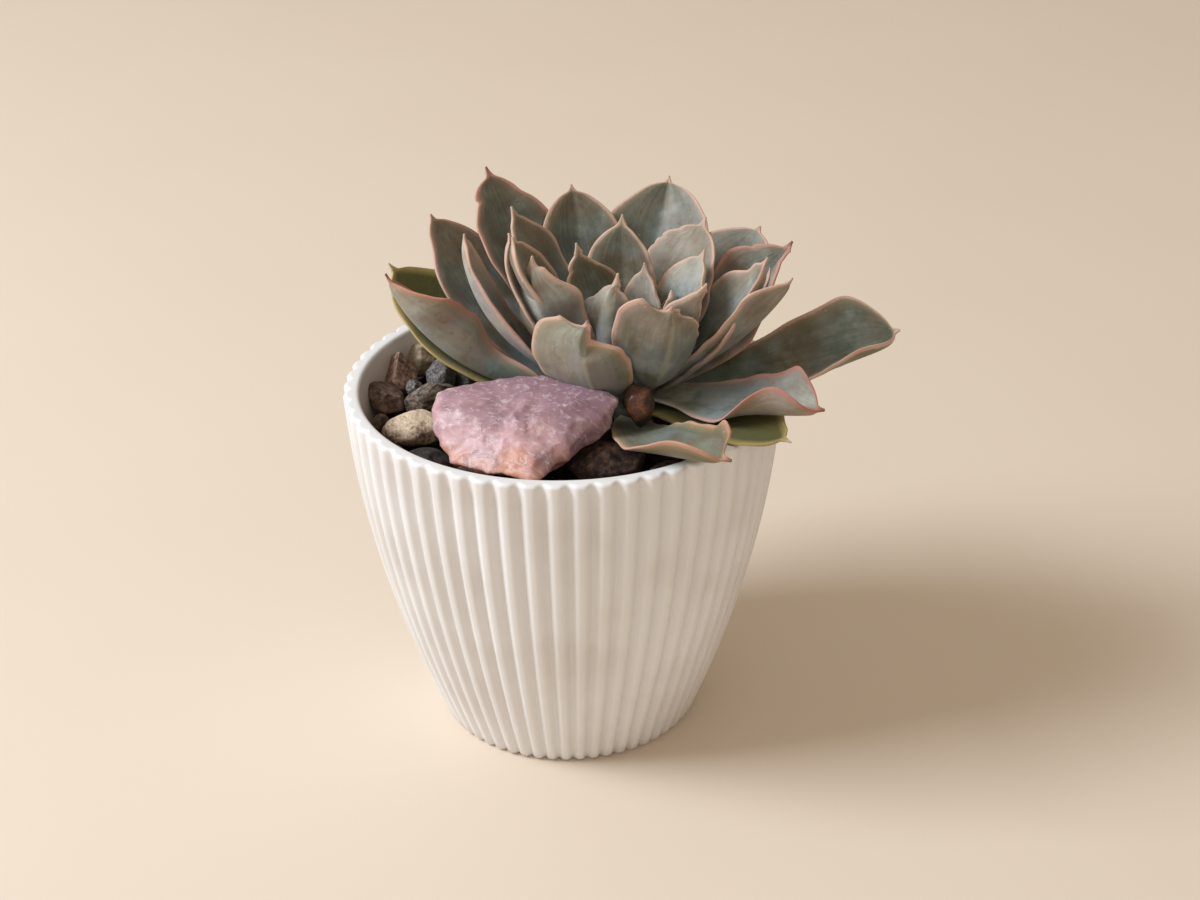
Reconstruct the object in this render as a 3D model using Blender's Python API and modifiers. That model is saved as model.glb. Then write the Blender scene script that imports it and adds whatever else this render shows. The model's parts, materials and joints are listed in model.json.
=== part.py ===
"""Potted echeveria: a ribbed white pot with soil, pebbles, a rose quartz, a brown stone and one rosette.

The origin is the centre of the pot's foot, +Z is up and -Y is the front. Sizes below are in
millimetres and angles in degrees; every mesh is made in metres.
"""

import math
import random
from dataclasses import dataclass

import bmesh
import bpy
import numpy as np
from mathutils import Euler, Matrix, Vector
from mathutils.bvhtree import BVHTree

MM = 0.001
MERGE = 0.00001
GAP = 0.3

# Pot
POT_HEIGHT = 101.0
RIM_RADIUS = 60.0
FOOT_RADIUS = 36.2
WALL = 4.5
FLOOR_THICKNESS = 6.0
BELLY_SHARE = 0.78
BELLY_POWER = 1.94
LIP_ROUND = 1.2
FOOT_ROUND = 1.0
WALL_STATIONS = (POT_HEIGHT - LIP_ROUND, 88.0, 70.0, 50.0, 30.0, 14.0, FOOT_ROUND)
INSIDE_STATIONS = (POT_HEIGHT - LIP_ROUND, 80.0, 55.0, 30.0, 14.0)
INSIDE_CORNER = 3.0
CUTTER_OVERSHOOT = 5.0
RIB_COUNT = 57
POINTS_PER_RIB = 3
GROOVE_SHARE_OF_PITCH = 0.17
INNER_STEPS = 76

# Soil
SOIL_LEVEL = 86.0
SOIL_RISE_AT_STEM = 2.0
SOIL_MOUND_SPREAD = 20.0
SOIL_RIPPLE = 0.6
SOIL_RINGS = (50.0, 38.0, 25.0, 12.0)
SOIL_SIDE_STATIONS = (SOIL_LEVEL, 55.0, 30.0, 14.0)

# Plant
STEM_X = 19.0
STEM_Y = -5.0
STEM_RADIUS = 5.5
STEM_FOOT = 62.0
CROWN_RADIUS = 8.5
CROWN_LEVEL = 101.0
STEM_TOP = 111.0
STEM_STEPS = 20

# Leaf blades
MARGIN_THICKNESS = 0.9
BLADE_STATIONS = (0.0, 0.2, 0.4, 0.56, 0.70, 0.82, 0.92, 1.0)
ACROSS_STATIONS = (-1.0, -0.5, 0.0, 0.5, 1.0)
SPIKE_LENGTH = 2.8
SPIKE_ROOT = 1.6
SPIKE_TIP = 0.3
LEFT_MARGIN_PHASE = 2.1

# Loose stones
STONE_SEED = 7
STONE_LUMP = 0.16
STONE_SQUARENESS = 0.9
STONE_DIVISIONS = 2
STONE_FLATS = 7
STONE_FLAT_DEPTHS = (0.72, 0.95)
STONE_BUMPS = 7
STONE_LIFT_STEP = 0.15
STONE_LIFT_LIMIT = 14.0
STONE_MARGIN = GAP * 1.15
PEBBLES = 47
FILLER_TRIES = 6000
FILLER_LARGEST = 15.0
FILLER_SMALLEST = 6.0
FILLER_TALLEST = 8.0
FILLER_TILT = 6.0
FILLER_CEILING = 92.0
FILLER_REACH = 0.42
FILLER_SPACING = 0.41
STEM_CLEARANCE = 9.0
BROWN_STONE_SEED = 3
BROWN_STONE_PLACE = (20.4, -25.5, 103.0)
BROWN_STONE_SIZE = (9.0, 8.4, 12.4)
BROWN_STONE_LUMP = 0.05
BROWN_STONE_SQUARENESS = 0.75
QUARTZ_START = -3.0
QUARTZ_BEVEL = 0.4
QUARTZ_FLATNESS = 4.0
QUARTZ_CORNER_ANGLE = 22.0


@dataclass(frozen=True)
class Leaf:
    """One leaf, as it leaves the stem: its left side is to the left when looking out along it."""

    azimuth: float
    rise: float
    length: float
    width: float
    height: float
    bend: float = 15.0
    reach: float = 3.0
    sweep: float = 0.0
    roll: float = 0.0
    twist: float = 0.0
    peak: float = 0.64
    point: float = 0.5
    neck: float = 0.42
    cup_left: float = 22.0
    cup_right: float = 22.0
    lobe_left: float = 0.0
    lobe_right: float = 0.0
    thickness: float = 3.0
    wave: float = 0.8
    waves: float = 1.5


@dataclass(frozen=True)
class Stone:
    """One loose stone: where it lies, its three axes, its heading and tilt, and its colour."""

    x: float
    y: float
    size: tuple
    heading: float
    tilt: float
    colour: str


OUTER_LEAVES = (
    Leaf(145, 50.5, 70, 27, 102, bend=30, sweep=-15, roll=-8, peak=0.7, cup_left=20, cup_right=25),
    Leaf(162, 40, 72, 22, 101, bend=50, peak=0.7),
    Leaf(163, 24.5, 75.5, 26, 100, bend=55, roll=-16, neck=0.3),
    Leaf(180, 30, 74.5, 27, 100, bend=55, roll=5, cup_left=50, cup_right=15),
    Leaf(182, 47.5, 62, 17, 103, bend=50, cup_left=50, cup_right=50),
    Leaf(116, 53, 55, 25, 104, bend=20, sweep=-25, point=0.4),
    Leaf(73, 51.5, 56.5, 32, 104, bend=20, sweep=-10, point=0.1),
    Leaf(28, 45.5, 52.5, 26, 103, bend=25, roll=25, peak=0.72, point=0.4),
    Leaf(12, 42.5, 56, 22, 102, bend=25, roll=48, peak=0.7, point=0.4, cup_right=10),
    Leaf(-15, 43, 53.5, 18, 102, bend=35, reach=4, cup_left=45, cup_right=45),
    Leaf(3, 10.5, 71, 27, 103, bend=14, sweep=8, roll=40, peak=0.76, point=0.6, cup_left=8, cup_right=70,
         thickness=2.2),
    Leaf(-29, 7, 54, 22, 101.5, bend=6, sweep=18, roll=18, twist=25, peak=0.8, point=0.4, cup_left=30,
         cup_right=105, thickness=2.0, wave=1.5),
    Leaf(-40, 3, 50, 22, 99.5, bend=-28, roll=3, peak=0.7, point=0.4, thickness=1.6),
    Leaf(-66, 13, 60, 20, 93.5, bend=-10, sweep=70, roll=11, twist=42, peak=0.68, point=0.1, cup_left=12,
         cup_right=50, lobe_left=3, thickness=1.6, wave=1.0),
)

REAR_LEAVES = (
    Leaf(82, 22, 62, 24, 101, bend=30),
    Leaf(118, 20, 60, 23, 101, bend=30),
    Leaf(54, 18, 57, 22, 101, bend=30),
    Leaf(138, 25, 61, 23, 101, bend=30),
    Leaf(100, 33, 50, 20, 103, bend=25),
)

INNER_LEAVES = (
    Leaf(158, 54, 54, 19, 106, bend=30, roll=-5, point=0.9),
    Leaf(182, 57, 51, 17, 106, bend=50, reach=5, roll=5),
    Leaf(195, 56.5, 52, 16, 107, bend=40, reach=4, roll=-15, cup_left=40, cup_right=40),
    Leaf(206, 59, 49.5, 18, 105, bend=50, reach=4, roll=48, point=0.8, lobe_left=1, lobe_right=1),
    Leaf(100, 77, 40.5, 21, 108, reach=2, sweep=-40, peak=0.7, point=1.0, thickness=2.4),
    Leaf(150, 66.5, 35, 17, 108, roll=-20, peak=0.7, point=0.9, thickness=2.4),
    Leaf(200, 101, 32.5, 21, 104, bend=25, reach=10, sweep=10, peak=0.7, cup_left=50, cup_right=15,
         lobe_right=1, thickness=2.4),
    Leaf(55, 84.5, 27, 12, 109, point=0.9, thickness=2.0),
    Leaf(6, 64.5, 37.5, 19, 107, roll=25, point=0.6, thickness=2.4),
    Leaf(-18, 58, 33, 16, 107, point=0.6, thickness=2.4),
    Leaf(10, 69, 20, 9, 110, thickness=1.8),
    Leaf(36, 61, 44.5, 25, 106, roll=15, peak=0.72),
    Leaf(-8, 51.5, 49.5, 22, 103, bend=30, reach=5, roll=28, cup_left=20, cup_right=55),
    Leaf(241, 56, 33.5, 32, 104, bend=25, reach=6, roll=20, peak=0.76, point=0.0, cup_left=72, cup_right=30,
         lobe_left=-6, lobe_right=4),
    Leaf(-58, 67, 32.5, 30, 103, bend=30, reach=6, roll=2, peak=0.76, point=0.0, cup_left=42, lobe_left=-0.5,
         lobe_right=6.5),
)

LEAVES = OUTER_LEAVES + REAR_LEAVES + INNER_LEAVES

SHOWN_STONES = (
    Stone(-41, -9.5, (17.5, 12, 9.5), -15, 4, "tan"),
    Stone(-36.5, 6.5, (16, 9.5, 8.5), 35, 8, "taupe"),
    Stone(-49.2, 8.5, (7.5, 13, 8.5), 8, 12, "brown"),
    Stone(-44.3, 21, (12.5, 9.2, 9.5), 65, 6, "brown"),
    Stone(-38, 30.5, (9.5, 9, 8.5), 20, 0, "tan"),
    Stone(-34, 20.3, (9, 10, 9), 10, 6, "slate"),
    Stone(-23.5, 20.5, (10, 9.5, 8.5), 0, 6, "charcoal"),
    Stone(-43.2, 13.6, (4.8, 4.6, 5), 0, 0, "slate"),
    Stone(-50.3, -1.2, (5.5, 5, 5.5), 0, 0, "taupe"),
    Stone(-36, -25, (14, 9.5, 6.5), -50, 4, "charcoal"),
    Stone(-46.5, -19.5, (9, 7, 6), -60, 0, "umber"),
    Stone(11, -35.5, (22, 13.5, 8), 10, 2, "umber"),
    Stone(28, -36, (11, 8, 6), 30, 0, "charcoal"),
    Stone(-23, -32, (13, 10, 6.5), 30, 0, "umber"),
    Stone(-8.5, -42, (12, 9, 6.5), 20, 0, "charcoal"),
    Stone(-9, -25, (13, 10, 6.5), -20, 0, "taupe"),
)

FILLER_COLOURS = ("tan", "taupe", "brown", "slate", "charcoal", "umber")

QUARTZ_CORNERS = (
    (-34.5, -22.5, 105), (-33, -21, 108), (-31, -20, 109), (-26, -21.5, 110), (-18, -21, 110.5),
    (-14, -18.5, 111), (-9, -17, 111.2), (-4, -17.5, 111), (1, -22.5, 110.8), (6.5, -25, 110.6),
    (12, -26.8, 110), (14, -28.5, 108.5), (-33, -28.5, 106.5), (-28, -29.5, 108.5), (-20.5, -31, 109.3),
    (-13, -34, 109.6), (-6, -35.5, 109.6), (1, -31, 109.6), (7.5, -29.5, 109.2), (13, -29.5, 106),
    (-32, -31, 101), (-29.5, -35, 99), (-27.5, -39.5, 98), (-20.5, -44.5, 98), (-14.5, -48.5, 97.5),
    (-8, -51.5, 97.5), (-4.5, -49, 97.5), (-8, -48, 101), (-1.5, -42.5, 99.5), (4.5, -37.5, 98),
    (10, -32.5, 100.5), (-26, -28, 93.5), (-22, -36, 93.5), (-10, -43, 93.5), (-3, -41, 93.5),
    (3, -30, 94), (-10, -22, 93.5),
)

COLOURS = {
    "glaze": ((0.80, 0.77, 0.72, 1.0), 0.35),
    "soil": ((0.035, 0.025, 0.018, 1.0), 0.95),
    "leaf": ((0.21, 0.25, 0.20, 1.0), 0.55),
    "quartz": ((0.66, 0.42, 0.42, 1.0), 0.25),
    "polished": ((0.12, 0.04, 0.02, 1.0), 0.25),
    "tan": ((0.42, 0.31, 0.21, 1.0), 0.7),
    "taupe": ((0.20, 0.15, 0.12, 1.0), 0.7),
    "brown": ((0.17, 0.10, 0.08, 1.0), 0.65),
    "slate": ((0.11, 0.11, 0.12, 1.0), 0.7),
    "charcoal": ((0.03, 0.027, 0.027, 1.0), 0.7),
    "umber": ((0.07, 0.04, 0.03, 1.0), 0.65),
}


# Scene helpers

def clear_scene():
    """Remove every object, so that the file builds the same model each time."""
    for thing in list(bpy.data.objects):
        bpy.data.objects.remove(thing, do_unlink=True)


def new_collection(name):
    """Make a collection in the scene."""
    collection = bpy.data.collections.new(name)
    bpy.context.scene.collection.children.link(collection)
    return collection


def finish_material(name):
    """Return the Principled material of one named colour, made once."""
    material = bpy.data.materials.get(name)
    if material is None:
        material = bpy.data.materials.new(name)
        material.use_nodes = True
        colour, roughness = COLOURS[name]
        shader = material.node_tree.nodes["Principled BSDF"]
        shader.inputs["Base Color"].default_value = colour
        shader.inputs["Roughness"].default_value = roughness
        shader.inputs["Metallic"].default_value = 0.0
    return material


def new_object(name, mesh, collection, finish=None):
    """Put a mesh in the scene as a named object with its finish."""
    thing = bpy.data.objects.new(name, mesh)
    collection.objects.link(thing)
    if finish is not None:
        mesh.materials.clear()
        mesh.materials.append(finish_material(finish))
    return thing


def evaluated_mesh(thing):
    """Return the object's mesh with its modifiers applied."""
    depsgraph = bpy.context.evaluated_depsgraph_get()
    return bpy.data.meshes.new_from_object(thing.evaluated_get(depsgraph))


def apply_modifiers(thing):
    """Replace the object's mesh by its evaluated one."""
    mesh = evaluated_mesh(thing)
    thing.modifiers.clear()
    thing.data = mesh


def smooth_shade(thing, angle=40.0):
    """Shade round faces smooth and keep the real corners."""
    thing.data.shade_smooth()
    thing.data.set_sharp_from_angle(angle=math.radians(angle))


def turned_mesh(name, profile, steps):
    """Turn a profile of (radius, height) points, from the top down, round the Z axis."""
    mesh = bpy.data.meshes.new(name)
    points = [(radius * MM, 0.0, height * MM) for radius, height in profile]
    edges = [(i, i + 1) for i in range(len(points) - 1)]
    mesh.from_pydata(points, edges, [])
    helper = bpy.data.objects.new(name, mesh)
    bpy.context.scene.collection.objects.link(helper)
    screw = helper.modifiers.new("turn", "SCREW")
    screw.steps = steps
    screw.render_steps = steps
    screw.use_merge_vertices = True
    screw.merge_threshold = MERGE
    turned = evaluated_mesh(helper)
    bpy.data.objects.remove(helper, do_unlink=True)
    return turned


def cut(thing, cutter, operation="DIFFERENCE"):
    """Cut one object with another, which stays in the scene as a hidden guide."""
    boolean = thing.modifiers.new("cut", "BOOLEAN")
    boolean.operation = operation
    boolean.solver = "EXACT"
    boolean.object = cutter
    apply_modifiers(thing)
    cutter.hide_render = True
    cutter.display_type = "WIRE"


def ease(low, high, value):
    """Rise smoothly from 0 at low to 1 at high."""
    share = np.clip((value - low) / (high - low), 0.0, 1.0)
    return share * share * (3.0 - 2.0 * share)


# Pot

def wall_radius(height):
    """Radius of the pot's outside at the rib tops, at a height above the foot."""
    share = min(max(height / POT_HEIGHT, 0.0), 1.0)
    swell = 1.0 - (1.0 - share) ** BELLY_POWER
    return FOOT_RADIUS + (RIM_RADIUS - FOOT_RADIUS) * ((1.0 - BELLY_SHARE) * share + BELLY_SHARE * swell)


def inner_radius(height):
    """Radius of the pot's inside at a height above the foot."""
    return wall_radius(height) - WALL


def groove_depth(radius):
    """Depth of the grooves between the ribs where the wall has this radius."""
    return GROOVE_SHARE_OF_PITCH * 2.0 * math.pi * radius / RIB_COUNT


def flute(mesh):
    """Sink one column of points in each three into a groove, all round and from foot to lip."""
    for vertex in mesh.vertices:
        radius = math.hypot(vertex.co.x, vertex.co.y)
        column = round(math.atan2(vertex.co.y, vertex.co.x) / (2.0 * math.pi) * RIB_COUNT * POINTS_PER_RIB)
        if radius > MERGE and column % POINTS_PER_RIB == 0:
            narrower = (radius - groove_depth(radius / MM) * MM) / radius
            vertex.co.x *= narrower
            vertex.co.y *= narrower


def build_pot(parts, cutters):
    """Make the fluted cup and hollow it out."""
    profile = [(0.0, POT_HEIGHT), (RIM_RADIUS - LIP_ROUND, POT_HEIGHT)]
    profile += [(wall_radius(height), height) for height in WALL_STATIONS]
    profile += [(FOOT_RADIUS - FOOT_ROUND, 0.0), (0.0, 0.0)]
    body = turned_mesh("pot", profile, RIB_COUNT * POINTS_PER_RIB)
    flute(body)
    pot = new_object("pot", body, parts, "glaze")

    mouth = inner_radius(POT_HEIGHT) + LIP_ROUND
    above = POT_HEIGHT + CUTTER_OVERSHOOT
    hollow = [(0.0, above), (mouth, above), (mouth, POT_HEIGHT)]
    hollow += [(inner_radius(height), height) for height in INSIDE_STATIONS]
    hollow += [(inner_radius(FLOOR_THICKNESS) - INSIDE_CORNER, FLOOR_THICKNESS), (0.0, FLOOR_THICKNESS)]
    cavity = new_object("pot_cavity", turned_mesh("pot_cavity", hollow, INNER_STEPS), cutters)
    cut(pot, cavity)
    smooth_shade(pot, 50.0)
    return pot


# Soil

def soil_height(x, y):
    """Height of the soil's surface: nearly level, and a little higher round the stem."""
    distance = math.hypot(x - STEM_X, y - STEM_Y)
    mound = SOIL_RISE_AT_STEM * math.exp(-(distance / SOIL_MOUND_SPREAD) ** 2)
    ripple = SOIL_RIPPLE * math.sin(x * 0.21 + 1.0) * math.cos(y * 0.17)
    return SOIL_LEVEL + mound + ripple


def build_soil(parts, cutters):
    """Fill the pot with soil and leave a plain hole for the stem."""
    bottom = FLOOR_THICKNESS + GAP
    profile = [(0.0, SOIL_LEVEL)] + [(radius, SOIL_LEVEL) for radius in reversed(SOIL_RINGS)]
    profile += [(inner_radius(height) - GAP, height) for height in SOIL_SIDE_STATIONS]
    profile += [(inner_radius(FLOOR_THICKNESS) - INSIDE_CORNER - GAP, bottom), (0.0, bottom)]
    mesh = turned_mesh("soil", profile, INNER_STEPS // 2)
    for vertex in mesh.vertices:
        radius = math.hypot(vertex.co.x, vertex.co.y) / MM
        if vertex.co.z > (SOIL_LEVEL - 0.01) * MM and radius < SOIL_RINGS[0] + 1.0:
            vertex.co.z = soil_height(vertex.co.x / MM, vertex.co.y / MM) * MM
    soil = new_object("soil", mesh, parts, "soil")

    depth = POT_HEIGHT - STEM_FOOT + GAP
    bpy.ops.mesh.primitive_cylinder_add(vertices=STEM_STEPS, radius=(STEM_RADIUS + GAP) * MM, depth=depth * MM)
    hole = bpy.context.object
    hole.name = "stem_hole"
    hole.location = (STEM_X * MM, STEM_Y * MM, (POT_HEIGHT - depth / 2.0) * MM)
    for collection in list(hole.users_collection):
        collection.objects.unlink(hole)
    cutters.objects.link(hole)
    bpy.context.view_layer.update()
    cut(soil, hole)
    smooth_shade(soil)
    return soil


# Plant

def half_width(leaf, share):
    """Half the blade's width at a share of the whole leaf's length, 0 at the root and 1 at the tip."""
    spike_share = SPIKE_LENGTH / leaf.length
    widest = leaf.peak * (1.0 - spike_share)
    growing = leaf.neck + (1.0 - leaf.neck) * np.sin(np.clip(share / widest, 0, 1) * math.pi / 2.0) ** 1.5
    past = np.clip((share - widest) / (1.0 - spike_share - widest), 0, 1)
    round_end = np.sqrt(np.clip(1.0 - past ** 2.4, 0, 1))
    sharp_end = (1.0 - past) ** 0.85 * (1.0 + 0.7 * past)
    closing = (1.0 - leaf.point) * round_end + leaf.point * sharp_end
    blade = leaf.width / 2.0 * np.where(share < widest, growing, closing)
    spike = SPIKE_TIP + (SPIKE_ROOT - SPIKE_TIP) * np.clip((1.0 - share) / spike_share, 0, 1.3) ** 1.6
    return np.where(share < widest, blade, np.maximum(blade, spike))


def leaf_frames(leaf, shares):
    """Follow the leaf's midrib: its points and its outward, sideways and upper directions."""
    fine = np.linspace(0.0, 1.0, 161)
    climb = np.radians(leaf.rise + leaf.bend * (fine - 0.5))
    course = np.radians(leaf.azimuth + leaf.sweep * (fine - 0.5))
    outward = np.stack([np.cos(climb) * np.cos(course), np.cos(climb) * np.sin(course), np.sin(climb)], 1)
    step = leaf.length / (len(fine) - 1)
    rib = np.concatenate([np.zeros((1, 3)), np.cumsum((outward[1:] + outward[:-1]) / 2.0 * step, 0)])
    start = math.radians(leaf.azimuth)
    rib += np.array([STEM_X + leaf.reach * math.cos(start), STEM_Y + leaf.reach * math.sin(start), leaf.height])
    upper = np.stack([-np.sin(climb) * np.cos(course), -np.sin(climb) * np.sin(course), np.cos(climb)], 1)
    sideways = np.cross(upper, outward)
    turn = np.radians(leaf.roll + leaf.twist * (fine - 0.5))[:, None]
    left = np.cos(turn) * sideways + np.sin(turn) * upper
    face = np.cos(turn) * upper - np.sin(turn) * sideways
    pick = [np.stack([np.interp(shares, fine, line[:, k]) for k in range(3)], 1) for line in
            (rib, outward, left, face)]
    return pick


def leaf_rows(leaf):
    """Points of the leaf's upper and lower faces, a row of them at each station, in millimetres."""
    spike_share = SPIKE_LENGTH / leaf.length
    blade = np.array(BLADE_STATIONS)
    shares = blade * (1.0 - spike_share)
    rib, outward, left, face = leaf_frames(leaf, shares)
    width = half_width(leaf, shares)
    full = np.clip(width / (leaf.width * 0.3), 0, 1)
    grown = ease(0.05, 0.5, blade)
    lobe = ease(0.5, 0.85, blade) * (1.0 - ease(0.96, 1.0, blade))
    upper_rows = np.zeros((len(shares), len(ACROSS_STATIONS), 3))
    lower_rows = np.zeros_like(upper_rows)
    for column, across in enumerate(ACROSS_STATIONS):
        side = 1.0 if across > 0 else -1.0
        reach = abs(across)
        cup = np.radians(leaf.cup_left if across > 0 else leaf.cup_right) * (0.35 + 0.65 * grown)
        sideways = width * np.sin(cup * reach) / cup * side
        lifted = width * (1.0 - np.cos(cup * reach)) / cup
        phase = LEFT_MARGIN_PHASE if across > 0 else 0.0
        wave = leaf.wave * reach ** 2 * np.sin(2.0 * math.pi * leaf.waves * blade + phase) * grown * full
        ahead = (leaf.lobe_left if across > 0 else leaf.lobe_right) * lobe * reach ** 1.5
        normal = np.cos(cup * reach)[:, None] * face - (side * np.sin(cup * reach))[:, None] * left
        point = rib + sideways[:, None] * left + lifted[:, None] * face
        point = point + wave[:, None] * normal + ahead[:, None] * outward
        body = leaf.thickness * (1.0 - 0.5 * blade ** 2) * max(1.0 - reach ** 2.2, 0.0)
        body = body * np.clip(width / (leaf.width * 0.25), 0.1, 1) + MARGIN_THICKNESS
        upper_rows[:, column] = point
        lower_rows[:, column] = point - body[:, None] * normal
    return upper_rows, lower_rows


def leaf_mesh(leaf, name):
    """Loft one leaf: both faces are split alike, and the tip closes in a point."""
    upper_rows, lower_rows = leaf_rows(leaf)
    across = len(ACROSS_STATIONS)
    around = 2 * across
    tip = leaf_frames(leaf, np.array([1.0]))[0][0]
    build = bmesh.new()
    rings = []
    for upper, lower in zip(upper_rows, lower_rows):
        loop = list(upper) + list(lower[::-1])
        rings.append([build.verts.new(Vector(point) * MM) for point in loop])
    last = build.verts.new(Vector(tip) * MM)
    for near, far in zip(rings, rings[1:]):
        for k in range(around):
            after = (k + 1) % around
            if k < across:
                build.faces.new((near[k], near[after], far[after]))
                build.faces.new((near[k], far[after], far[k]))
            else:
                build.faces.new((near[k], near[after], far[k]))
                build.faces.new((near[after], far[after], far[k]))
    for k in range(around):
        build.faces.new((rings[-1][k], rings[-1][(k + 1) % around], last))
    build.faces.new(rings[0])
    bmesh.ops.recalc_face_normals(build, faces=build.faces)
    mesh = bpy.data.meshes.new(name)
    build.to_mesh(mesh)
    build.free()
    return mesh


def stem_mesh():
    """Turn the short stem and the crown that the leaves grow from."""
    profile = [(0.0, STEM_TOP), (CROWN_RADIUS * 0.55, STEM_TOP - 2.0), (CROWN_RADIUS * 0.9, CROWN_LEVEL + 4.0),
               (CROWN_RADIUS, CROWN_LEVEL), (STEM_RADIUS, CROWN_LEVEL - 9.0), (STEM_RADIUS, STEM_FOOT),
               (0.0, STEM_FOOT)]
    mesh = turned_mesh("stem", profile, STEM_STEPS)
    mesh.transform(Matrix.Translation((STEM_X * MM, STEM_Y * MM, 0.0)))
    return mesh


def keep_largest_body(mesh):
    """Drop any loose scrap that the union leaves, and keep the plant's one body."""
    build = bmesh.new()
    build.from_mesh(mesh)
    build.faces.ensure_lookup_table()
    unseen = set(build.faces)
    bodies = []
    while unseen:
        front = [unseen.pop()]
        body = list(front)
        while front:
            face = front.pop()
            for edge in face.edges:
                for other in edge.link_faces:
                    if other in unseen:
                        unseen.discard(other)
                        front.append(other)
                        body.append(other)
        bodies.append(body)
    bodies.sort(key=len)
    scraps = [face for body in bodies[:-1] for face in body]
    if scraps:
        bmesh.ops.delete(build, geom=scraps, context="FACES")
    build.to_mesh(mesh)
    build.free()


def build_echeveria(parts):
    """Fuse the stem and all its leaves in one solid."""
    plant = new_object("echeveria", stem_mesh(), parts, "leaf")
    leaves = new_collection("leaves")
    for index, leaf in enumerate(LEAVES):
        new_object(f"leaf_{index:02d}", leaf_mesh(leaf, f"leaf_{index:02d}"), leaves)
    union = plant.modifiers.new("grow", "BOOLEAN")
    union.operation = "UNION"
    union.operand_type = "COLLECTION"
    union.collection = leaves
    union.solver = "MANIFOLD"
    apply_modifiers(plant)
    for leaf in list(leaves.objects):
        bpy.data.objects.remove(leaf, do_unlink=True)
    bpy.data.collections.remove(leaves)
    keep_largest_body(plant.data)
    plant.data.materials.clear()
    plant.data.materials.append(finish_material("leaf"))
    smooth_shade(plant, 35.0)
    return plant


# Loose stones

def random_direction(chance):
    """Draw one direction in space."""
    return Vector([chance.uniform(-1, 1) for _ in range(3)]).normalized()


def stone_mesh(name, size, chance, lump=STONE_LUMP, squareness=STONE_SQUARENESS):
    """Make a lumpy rounded stone from a ball; the size is its three full axes, 1 is round and 0 a box."""
    build = bmesh.new()
    bmesh.ops.create_icosphere(build, subdivisions=STONE_DIVISIONS, radius=1.0)
    bumps = [(random_direction(chance), chance.uniform(-lump, lump)) for _ in range(STONE_BUMPS)]
    flats = [(random_direction(chance), chance.uniform(*STONE_FLAT_DEPTHS)) for _ in range(STONE_FLATS)]
    for vertex in build.verts:
        direction = vertex.co.normalized()
        swell = 1.0 + sum(height * max(direction.dot(axis), 0.0) ** 2 for axis, height in bumps)
        squared = [math.copysign(abs(part) ** squareness, part) for part in direction]
        point = Vector(squared) * swell
        for axis, depth in flats:
            point -= axis * max(point.dot(axis) - depth, 0.0)
        vertex.co = point
    largest = [max(abs(vertex.co[k]) for vertex in build.verts) for k in range(3)]
    for vertex in build.verts:
        vertex.co = Vector([vertex.co[k] / largest[k] * size[k] / 2.0 * MM for k in range(3)])
    mesh = bpy.data.meshes.new(name)
    build.to_mesh(mesh)
    build.free()
    return mesh


def grown_tree(mesh, matrix, extra):
    """Collision tree of a convex mesh that is made larger by a margin on every side."""
    middle = sum((vertex.co for vertex in mesh.vertices), Vector()) / len(mesh.vertices)
    points = []
    for vertex in mesh.vertices:
        away = (vertex.co - middle).normalized()
        points.append(matrix @ (vertex.co + away * extra * MM))
    return BVHTree.FromPolygons(points, [tuple(face.vertices) for face in mesh.polygons])


class Surroundings:
    """What is already in the pot, as collision trees that a new stone has to stay clear of."""

    def __init__(self):
        self.trees = []

    def add(self, thing):
        """Add one object where it stands."""
        points = [thing.matrix_world @ vertex.co for vertex in thing.data.vertices]
        self.trees.append(BVHTree.FromPolygons(points, [tuple(face.vertices) for face in thing.data.polygons]))

    def touches(self, mesh, matrix):
        """Say whether a stone there would come closer than the gap."""
        tree = grown_tree(mesh, matrix, STONE_MARGIN)
        return any(tree.overlap(other) for other in self.trees)

    def seat(self, mesh, turned, x, y, start):
        """Raise a stone from a start height until it is clear, and return its place or None."""
        lift = 0.0
        while lift < STONE_LIFT_LIMIT:
            place = Matrix.Translation((x * MM, y * MM, (start + lift) * MM)) @ turned
            if not self.touches(mesh, place):
                return place
            lift += STONE_LIFT_STEP
        return None


def add_stone(name, mesh, place, parts, finish, surroundings):
    """Stand a seated stone in the scene and let later stones know of it."""
    thing = new_object(name, mesh, parts, finish)
    thing.matrix_world = place
    bpy.context.view_layer.update()
    surroundings.add(thing)
    smooth_shade(thing, 60.0)
    return thing


def seat_stone(stone, name, chance, surroundings):
    """Shape one stone and find the height at which it rests, or None where it doesn't fit."""
    mesh = stone_mesh(name, stone.size, chance)
    turned = Euler((0.0, math.radians(-stone.tilt), math.radians(stone.heading))).to_matrix().to_4x4()
    lowest = min((turned @ vertex.co).z for vertex in mesh.vertices) / MM
    start = soil_height(stone.x, stone.y) - SOIL_RIPPLE - lowest
    return mesh, surroundings.seat(mesh, turned, stone.x, stone.y, start)


def filler_stones(chance, taken):
    """Yield stones for the bare soil, large ones first, each clear of the stem and of those placed."""
    for index in range(FILLER_TRIES):
        largest = FILLER_LARGEST + (FILLER_SMALLEST - FILLER_LARGEST) * index / FILLER_TRIES
        length = largest * chance.uniform(0.85, 1.0)
        width = length * chance.uniform(0.68, 0.85)
        height = min(length * chance.uniform(0.5, 0.7), FILLER_TALLEST)
        spread = math.sqrt(chance.random()) * (inner_radius(SOIL_LEVEL) - length * FILLER_REACH)
        angle = chance.uniform(0.0, 2.0 * math.pi)
        x = spread * math.cos(angle)
        y = spread * math.sin(angle)
        heading = chance.uniform(0, 180)
        tilt = chance.uniform(-FILLER_TILT, FILLER_TILT)
        stone = Stone(x, y, (length, width, height), heading, tilt, chance.choice(FILLER_COLOURS))
        nearest = min(math.hypot(x - other.x, y - other.y) / (length + other.size[0]) for other in taken)
        if nearest > FILLER_SPACING and math.hypot(x - STEM_X, y - STEM_Y) > STEM_CLEARANCE + length / 2.0:
            yield stone


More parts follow.
